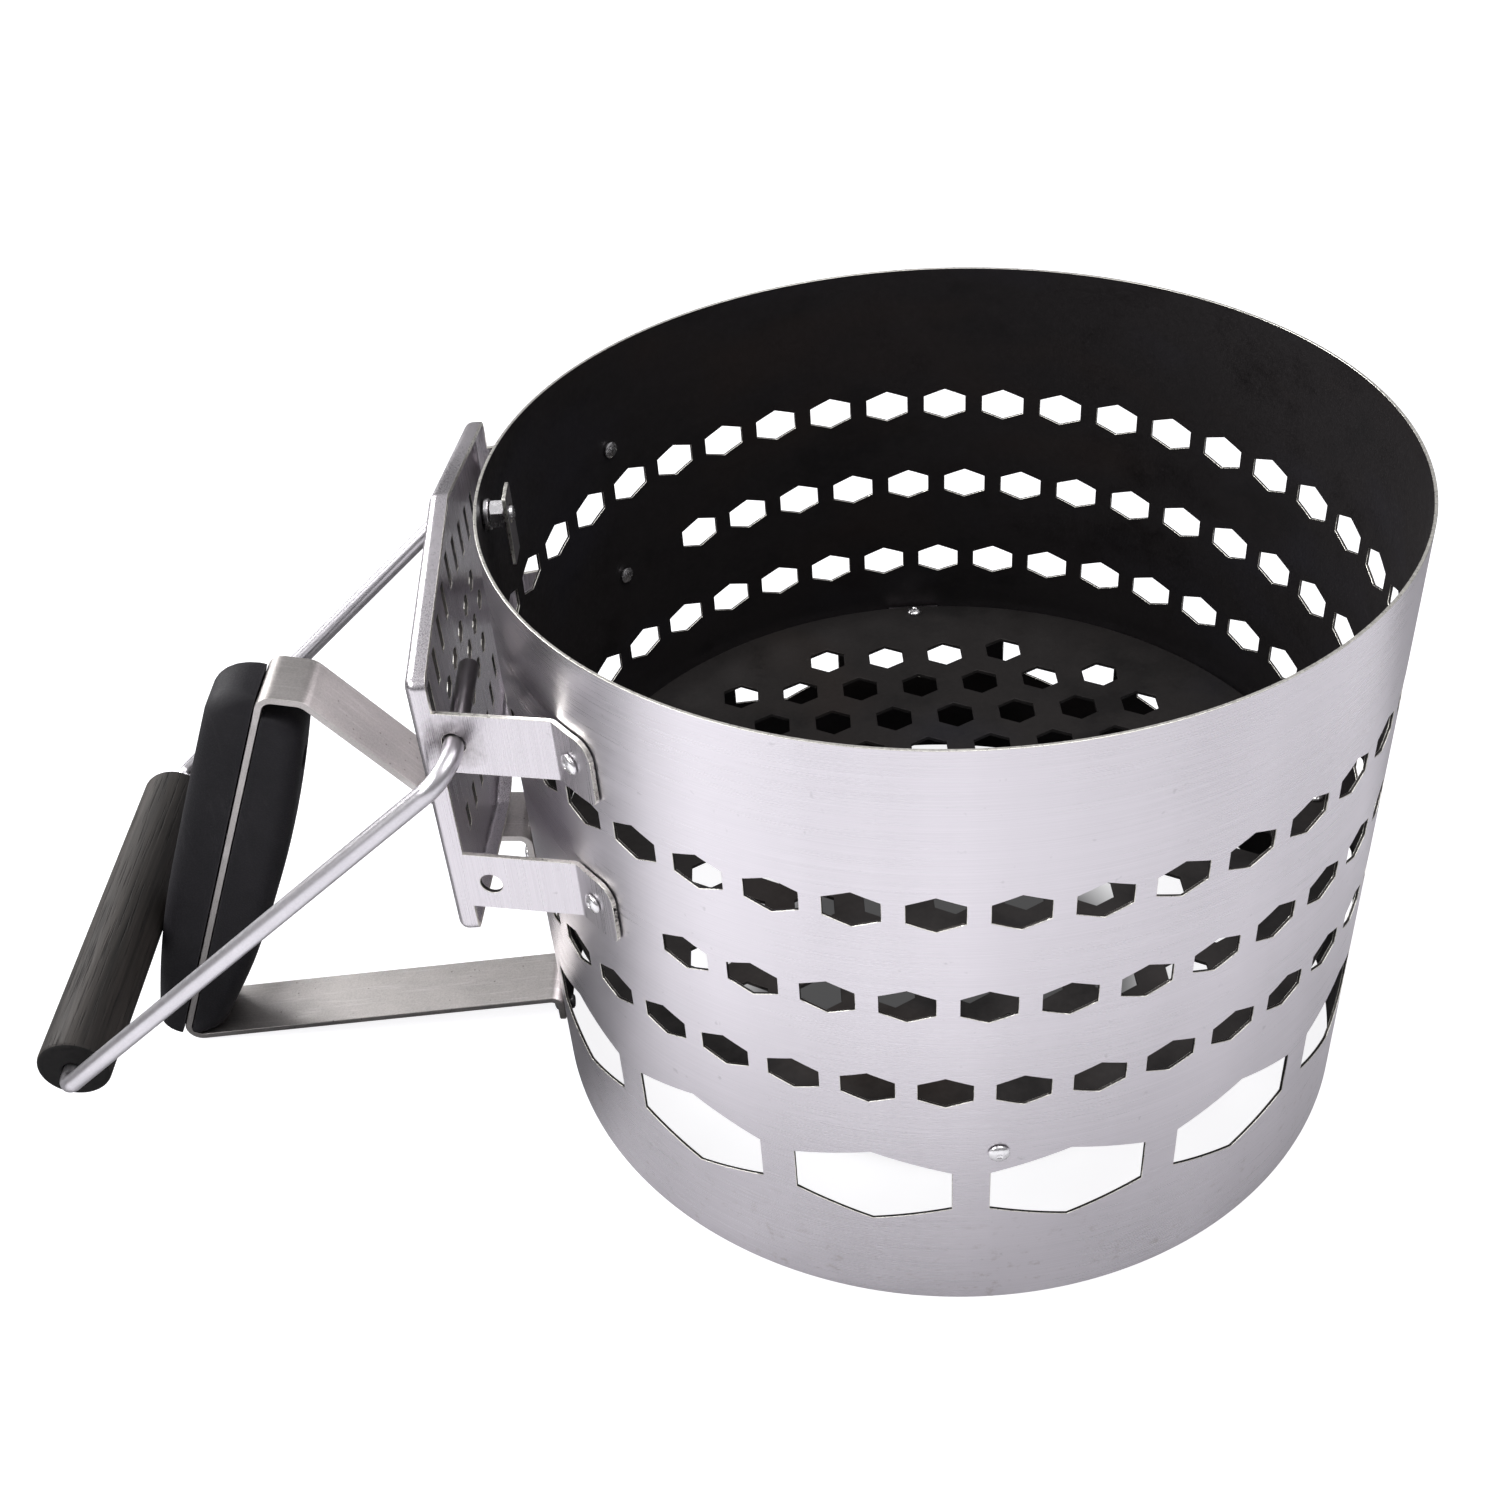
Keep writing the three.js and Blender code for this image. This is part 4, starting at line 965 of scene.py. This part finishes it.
def cut_away(obj, *cutters):
    """Takes the cutters out of the object and removes them."""
    for cutter in cutters:
        modifier = obj.modifiers.new("cut", "BOOLEAN")
        modifier.operation = "DIFFERENCE"
        modifier.solver = "EXACT"
        modifier.object = cutter
    bpy.context.view_layer.update()
    graph = bpy.context.evaluated_depsgraph_get()
    mesh = bpy.data.meshes.new_from_object(obj.evaluated_get(graph))
    obj.modifiers.clear()
    obj.data = mesh
    mesh.polygons.foreach_set("use_smooth", [True] * len(mesh.polygons))
    mesh.set_sharp_from_angle(angle=math.radians(35))
    for cutter in cutters:
        bpy.data.objects.remove(cutter)


def grips():
    outer = mesh_object("grip_outer", *loft(grip_rings(GRIP_OUTER)), [grip_plastic])
    inner = mesh_object("grip_inner", *loft(grip_rings(GRIP_INNER)), [grip_plastic])
    recesses = []
    for name, along in GRIP_SCREWS.items():
        seat = -crowned(GRIP_INNER, along)
        profile = [(0, 0), (SCREW_HEAD + GAP, 0), (SCREW_HEAD + GAP, SCREW_RECESS + 2), (0, SCREW_RECESS + 2)]
        part = lathe(profile, on_slant(along, seat + SCREW_RECESS), -slant_out, 40)
        recesses.append(mesh_object(f"recess_{name}", *part, [grip_plastic]))
    bend = strip("bend_room", strap_path(), GRIP_WIDTH + 2, STRAP_SHEET + 1.95 * GAP, [grip_plastic] * 3,
                 lambda a, b, across: (a, across, b))
    cut_away(inner, *recesses, bend)
    stands_for(outer, "grip_outer_half")
    stands_for(inner, "grip_inner_half")


# ----------------------------------------------------------------------
# Bail: the wire and its spool

def swept(path, radius, sides):
    """A round bar whose rings follow on without twist, with slightly rounded ends."""
    path = [np.array(p, float) for p in path]
    directions = []
    for k in range(len(path)):
        directions.append(unit(path[min(k + 1, len(path) - 1)] - path[max(k - 1, 0)]))
    normal = np.array([0.0, 0.0, 1.0])
    frames = []
    for direction in directions:
        normal = unit(normal - direction * np.dot(normal, direction))
        frames.append((direction, normal, np.cross(direction, normal)))

    def circle(centre, k, size):
        _, first, second = frames[k]
        turns = [2 * math.pi * i / sides for i in range(sides)]
        return [centre + size * (math.cos(a) * first + math.sin(a) * second) for a in turns]

    last = len(path) - 1
    rings = [circle(path[0], 0, radius - 0.5), circle(path[0] + frames[0][0] * 0.15, 0, radius - 0.15)]
    rings.append(circle(path[0] + frames[0][0] * 0.5, 0, radius))
    rings += [circle(path[k], k, radius) for k in range(1, last)]
    rings.append(circle(path[last] - frames[last][0] * 0.5, last, radius))
    rings.append(circle(path[last] - frames[last][0] * 0.15, last, radius - 0.15))
    rings.append(circle(path[last], last, radius - 0.5))
    return loft(rings)


def bail():
    corners = [
        ((PIVOT_X, WIRE_END, PIVOT_Z), 0),
        ((PIVOT_X, WIRE_HALF["pivot"], PIVOT_Z), WIRE_BENDS["pivot"]),
        ((SPOOL_X, WIRE_HALF["spool"], SPOOL_Z), WIRE_BENDS["spool"]),
        ((SPOOL_X, -WIRE_HALF["spool"], SPOOL_Z), WIRE_BENDS["spool"]),
        ((PIVOT_X, -WIRE_HALF["pivot"], PIVOT_Z), WIRE_BENDS["pivot"]),
        ((PIVOT_X, -WIRE_END, PIVOT_Z), 0),
    ]
    wire = mesh_object("bail_rod", *swept(rounded(corners, 9 * FINE), WIRE_RADIUS, 16 * FINE), [wire_steel])
    stands_for(wire, "bail_wire")

    edge = 2.2
    arc = [(SPOOL_RADIUS - edge + edge * math.sin(a), SPOOL_HALF - edge + edge * math.cos(a))
           for a in [math.pi / 2 * k / 8 for k in range(9)]]
    half = [(SPOOL_BORE, SPOOL_HALF - 0.5), (SPOOL_BORE + 0.5, SPOOL_HALF)] + arc
    length = [(SPOOL_RADIUS, (SPOOL_HALF - edge) * (1 - k / 6)) for k in range(1, 12)]
    profile = half + length + [(r, -h) for r, h in reversed(half)]
    points, faces = lathe(profile, (SPOOL_X, SPOOL_Y, SPOOL_Z), (0, 1, 0), 32 * FINE, closed=True)
    ends = [int(all(abs(points[i][1] - SPOOL_Y) > SPOOL_HALF - edge * 0.55 for i in face)) for face in faces]
    spool = mesh_object("bail_roller", points, faces, [spool_wood, spool_end_shaded], ends)
    stands_for(spool, "bail_spool")


# ----------------------------------------------------------------------
# Rivets, nuts and screws

def rivet_parts(origin, direction, grip, size):
    """A low dome with a dimple where it was set, its shank and its flattened tail."""
    head, height, tail = size["head"], size["height"], size["tail"]
    dome = [(head * math.sin(a), height * (1 - 0.86 * (1 - math.cos(a))))
            for a in [math.pi / 2 * k / 10 for k in range(3, 11)]]
    profile = [(0, height - 0.42), (0.75, height - 0.36), (1.05, height - 0.05)] + dome
    profile += [(head, 0), (RIVET_SHANK, 0), (RIVET_SHANK, -grip), (tail, -grip), (tail, -grip - 0.5)]
    profile += [(tail * 0.75, -grip - 1.0), (0, -grip - 1.1)]
    return lathe(profile, origin, direction, 20 * FINE)


def rivets():
    places = {}
    wall = FOOT_RADIUS + SHIELD_SHEET + GAP
    for side_name, side in (("right", 1), ("left", -1)):
        outward = around(side * FOOT_RIVET_ANGLE, 1)
        for arm, middle in ARM_MIDDLES.items():
            places[f"shield_rivet_{arm}_{side_name}"] = (
                outward * wall + np.array([0, 0, middle]), outward, wall - (DRUM_RADIUS - 1.5), WALL_RIVET)
        for foot, z in STRAP_RIVET_HEIGHTS.items():
            seat = STRAP_LINE[0][0] + STRAP_SHEET / 2 + GAP
            upper = foot == "upper"
            back = BRACKET["face"] - BRACKET["sheet"] - GAP if upper else DRUM_RADIUS - DRUM_WALL - 0.6
            places[f"strap_rivet_{foot}_{side_name}"] = (
                np.array([seat, side * STRAP_RIVET_SPREAD, z]), np.array([1, 0, 0]), seat - back,
                WALL_RIVET if upper else FOOT_RIVET)
    for name, angle in BRACKETS.items():
        top = GRATE_LOW + GRATE_SHEET + GAP
        places[f"grate_rivet_{name}"] = (
            around(angle, SHELF_RIVET_RADIUS, top), np.array([0, 0, 1]),
            top - (BRACKET["shelf"] - GAP), FOOT_RIVET)
        if name != "front":
            seat = DRUM_RADIUS + GAP
            places[f"bracket_rivet_{name}"] = (
                around(angle, seat, BRACKET_RIVET_Z), around(angle, 1),
                seat - (BRACKET["face"] - BRACKET["sheet"] - GAP), WALL_RIVET)
    for node, (origin, direction, grip, size) in places.items():
        parts = rivet_parts(origin, direction, grip, size)
        obj = mesh_object(node + "_head", *parts, [fastener_steel], sharp=50)
        stands_for(obj, node)


def nut_parts(origin, direction, flats, thickness, bore):
    """A hexagon nut whose corners are turned down at both faces."""
    along = unit(np.array(direction, float))
    side = np.array([0.0, 1.0, 0.0])
    other = np.cross(along, side)
    sides, middle = 24 * FINE, thickness / 2
    crown = flats / 2 * 0.95
    levels = []
    for k in range(sides):
        angle = 2 * math.pi * k / sides
        corner = flats / 2 / math.cos((angle + math.pi / 6) % (math.pi / 3) - math.pi / 6)
        drop = max(corner - crown, 0) * math.tan(math.radians(30))
        upper = [(bore, middle), (crown, middle), (corner, middle - drop)]
        levels.append((angle, upper + [(radius, -height) for radius, height in reversed(upper)]))
    points = []
    for angle, profile in levels:
        for radius, height in profile:
            points.append(np.array(origin, float) + along * (height + middle)
                          + radius * (math.cos(angle) * side + math.sin(angle) * other))
    rows = len(levels[0][1])
    faces = []
    for k in range(sides):
        for i in range(rows):
            a, b = k * rows + i, ((k + 1) % sides) * rows + i
            c, d = ((k + 1) % sides) * rows + (i + 1) % rows, k * rows + (i + 1) % rows
            faces.append([a, b, c, d])
    return points, faces


def rim_hardware():
    """The screw, nut, washer and upright plate at the handle's side, just under the rim."""
    def axis(x):
        return x, 0, PLATE_SCREW_Z

    radius, thickness = PLATE_WASHER
    washer_face = DRUM_RADIUS - DRUM_WALL - 2 * GAP
    spacer_face = washer_face - thickness - GAP
    plate_face = spacer_face - SPACER_NUT - GAP
    ring_profile = [(PLATE_BORE, 0), (radius - 0.25, 0), (radius, 0.25), (radius, thickness - 0.25),
                    (radius - 0.25, thickness), (PLATE_BORE, thickness)]
    washer = lathe(ring_profile, axis(washer_face - thickness), (1, 0, 0), 24 * FINE, closed=True)
    stands_for(mesh_object("washer", *washer, [fastener_steel]), "plate_washer")
    nut = nut_parts(axis(spacer_face - SPACER_NUT), (1, 0, 0), NUT_FLATS, SPACER_NUT, PLATE_BORE)
    stands_for(mesh_object("spacer_nut", *nut, [fastener_steel], sharp=20), "plate_spacer_nut")

    seat = DRUM_RADIUS + GAP
    length = seat - (plate_face - INNER_PLATE["sheet"] - SCREW_PAST)
    head = [(0, 1.0), (1.1, 1.0), (1.4, 1.45), (2.6, 1.35), (3.6, 0.95), (4.1, 0.45), (4.2, 0), (2.5, 0)]
    threads, pitch = [], 0.7
    for k in range(int((length - 1.5) / pitch)):
        h = -0.6 - k * pitch
        threads += [(2.5, h), (2.28, h - pitch / 2)]
    profile = head + threads + [(2.4, -length + 0.5), (2.0, -length), (0, -length)]
    screw = lathe(profile, axis(seat), (1, 0, 0), 20 * FINE)
    stands_for(mesh_object("rim_screw", *screw, [fastener_steel], sharp=55), "plate_screw")

    plate = INNER_PLATE
    half = plate["width"] / 2
    outline = []
    for y, z, first in ((half - 1, plate["low"] + 1, -90), (half - 1, plate["high"] - 1, 0),
                        (-half + 1, plate["high"] - 1, 90), (-half + 1, plate["low"] + 1, 180)):
        for k in range(5):
            a = math.radians(first + 22.5 * k)
            outline.append((y + math.cos(a), z + math.sin(a)))
    obj = sheet("upright_plate", outline, [ring(PLATE_BORE, (0, PLATE_SCREW_Z), 24)], [],
                lambda y, z, d: (plate_face - d, y, z), plate["sheet"],
                [bracket_steel, bracket_steel, sheet_edge])
    stands_for(obj, "inner_plate")


def grip_screws():
    for name, along in GRIP_SCREWS.items():
        seat = -crowned(GRIP_INNER, along) + SCREW_RECESS - GAP
        length = SCREW_TIP - seat
        socket = [(0, SCREW_HEAD_HEIGHT - 2.0), (1.8, SCREW_HEAD_HEIGHT - 2.0), (1.8, SCREW_HEAD_HEIGHT)]
        head = [(SCREW_HEAD - 0.8, SCREW_HEAD_HEIGHT), (SCREW_HEAD - 0.25, SCREW_HEAD_HEIGHT - 0.25),
                (SCREW_HEAD, SCREW_HEAD_HEIGHT - 0.8), (SCREW_HEAD, 0), (SCREW_SHANK, 0)]
        tail = [(SCREW_SHANK, -length + 0.6), (SCREW_SHANK - 0.6, -length), (0, -length)]
        part = lathe(socket + head + tail, on_slant(along, seat), -slant_out, 20 * FINE)
        stands_for(mesh_object(f"screw_{name}", *part, [fastener_steel]), f"grip_screw_{name}")


drum()
shield()
strap()
brackets()
grate()
grips()
bail()
rivets()
rim_hardware()
grip_screws()

# ----------------------------------------------------------------------
# Floor, light and camera

# How pale the floor is to the object: in front, behind, and its share of that close to the drum, which is painted
# contact shade.
FLOOR_PAINT, FLOOR_FAR, FLOOR_NEAR_SHADE = 2.05, 0.5, 0.66
FLOOR_FADE, FLOOR_FADE_TURN = (-0.075, -0.015), 0.28    # where front turns to back, in metres
FLOOR_CONTACT_SHADE = (0.14, 0.28)     # distances from the drum's axis, in metres, over which the painted contact shade fades
FLOOR_SHADE, FLOOR_SHADE_DEPTH = (0.060, 0.095), 0.92    # under the grate, for the camera only
FLOOR_GLOW = 0.88
FLOOR_REACH, FLOOR_LEVEL = 6.0, -0.0003
TENT = (0.16, 0.62)              # brightness at the horizon and overhead
LIGHTS = [
    ("key_light", (-1.2, 0.75, 0.95), (0.9, 0.9), 25),
    ("fill_light", (-1.1, -0.6, 1.0), (0.8, 0.8), 11),
    ("top_light", (0.5, -0.3, 1.6), (1.0, 1.0), 12),
]

def floor():
    """A pale floor. The camera sees it nearly white, with painted shade under the grate. Whatever it lights,
    or is mirrored in, sees matt paint, darker behind and with painted contact shade close to the drum."""
    n = Nodes("floor_paint")
    grain = n.noise(n.new("TexCoord").outputs["Object"], (6, 6, 6), detail=2.0)
    base = n.mix(n.between(grain, 0.3, 0.7), (0.36, 0.36, 0.37), (0.40, 0.40, 0.41))
    place = n.new("NewGeometry").outputs["Position"]
    parts = n.new("SeparateXYZ", {0: place}).outputs
    back = n.maths("SUBTRACT", parts[1], n.maths("MULTIPLY", parts[0], FLOOR_FADE_TURN))
    away = n.new("VectorMath", {0: place, 1: (drum_axis, 0, 0)}, operation="DISTANCE").outputs["Value"]
    lit = n.eased(away, *FLOOR_SHADE, 1 - FLOOR_SHADE_DEPTH, 1.0)
    n.finish(**{"Base Color": n.scaled(base, lit), "Roughness": 0.9, "Specular IOR Level": 0.1,
                "Emission Color": (0.99, 0.985, 1.0, 1), "Emission Strength": n.maths("MULTIPLY", lit, FLOOR_GLOW)})
    # The paint is darker behind the drum, and darker close to it as painted contact shade.
    paint = n.maths("MULTIPLY", n.eased(back, *FLOOR_FADE, FLOOR_PAINT, FLOOR_FAR),
                    n.eased(away, *FLOOR_CONTACT_SHADE, FLOOR_NEAR_SHADE, 1.0))
    matt = n.new("BsdfDiffuse", {"Color": n.scaled(base, paint)})
    seen = n.new("LightPath").outputs["Is Camera Ray"]
    blend = n.new("MixShader", {0: seen, 1: matt, 2: n.shader})
    n.give(n.tree.nodes["Material Output"].inputs["Surface"], blend)
    mesh = bpy.data.meshes.new("floor")
    corners = rectangle(-FLOOR_REACH, -FLOOR_REACH, FLOOR_REACH, FLOOR_REACH)
    mesh.from_pydata([(x, y, FLOOR_LEVEL) for x, y in corners], [], [(0, 1, 2, 3)])
    mesh.materials.append(n.material)
    obj = bpy.data.objects.new("floor", mesh)
    bpy.context.scene.collection.objects.link(obj)


def area_light(name, place, target, size, power):
    light = bpy.data.lights.new(name, "AREA")
    light.shape = "RECTANGLE"
    light.size, light.size_y = size
    light.energy = power
    obj = bpy.data.objects.new(name, light)
    obj.location = place
    obj.rotation_euler = (Vector(target) - Vector(place)).to_track_quat("-Z", "Y").to_euler()
    bpy.context.scene.collection.objects.link(obj)


def studio():
    """A tent that is brighter overhead, a large key light behind on the left, a fill in front of it
    and a light overhead. The camera sees the tent nearly white, as it does the floor."""
    world = bpy.data.worlds.new("studio")
    world.use_nodes = True
    tree = world.node_tree
    background = tree.nodes["Background"]
    direction = tree.nodes.new("ShaderNodeTexCoord").outputs["Generated"]
    parts = tree.nodes.new("ShaderNodeSeparateXYZ")
    tree.links.new(direction, parts.inputs[0])
    height = tree.nodes.new("ShaderNodeMapRange")
    height.inputs["To Min"].default_value, height.inputs["To Max"].default_value = TENT
    tree.links.new(parts.outputs[2], height.inputs["Value"])
    strength = tree.nodes.new("ShaderNodeMix")
    strength.inputs["B"].default_value = 1.0
    tree.links.new(tree.nodes.new("ShaderNodeLightPath").outputs["Is Camera Ray"], strength.inputs["Factor"])
    tree.links.new(height.outputs[0], strength.inputs["A"])
    tree.links.new(strength.outputs["Result"], background.inputs[1])
    background.inputs[0].default_value = (0.98, 0.97, 1.0, 1)
    bpy.context.scene.world = world
    middle = (drum_axis, 0, 0.1)
    for name, place, size, power in LIGHTS:
        area_light(name, place, middle, size, power)
    bpy.context.scene.view_settings.view_transform = "Standard"


CAMERA_FROM_AXIS = Vector((-0.0472, -0.4618, 0.4776))
CAMERA_TURN, CAMERA_TILT, CAMERA_ROLL = math.radians(-2.13), math.radians(38.27), -0.0858
CAMERA_LENS = 41.9


def camera():
    data = bpy.data.cameras.new("camera")
    data.lens = CAMERA_LENS
    data.sensor_width = 36
    data.clip_start = 0.01
    obj = bpy.data.objects.new("camera", data)
    level_share = math.cos(CAMERA_TILT)
    ahead = Vector((math.sin(CAMERA_TURN) * level_share, math.cos(CAMERA_TURN) * level_share,
                    -math.sin(CAMERA_TILT)))
    level = ahead.cross(Vector((0, 0, 1))).normalized()
    above = level.cross(ahead)
    right = level * math.cos(CAMERA_ROLL) + above * math.sin(CAMERA_ROLL)
    up = above * math.cos(CAMERA_ROLL) - level * math.sin(CAMERA_ROLL)
    turned = Matrix((right, up, -ahead)).transposed().to_4x4()
    obj.matrix_world = Matrix.Translation(CAMERA_FROM_AXIS + Vector((drum_axis, 0, 0))) @ turned
    bpy.context.scene.collection.objects.link(obj)
    bpy.context.scene.camera = obj


floor()
studio()
camera()
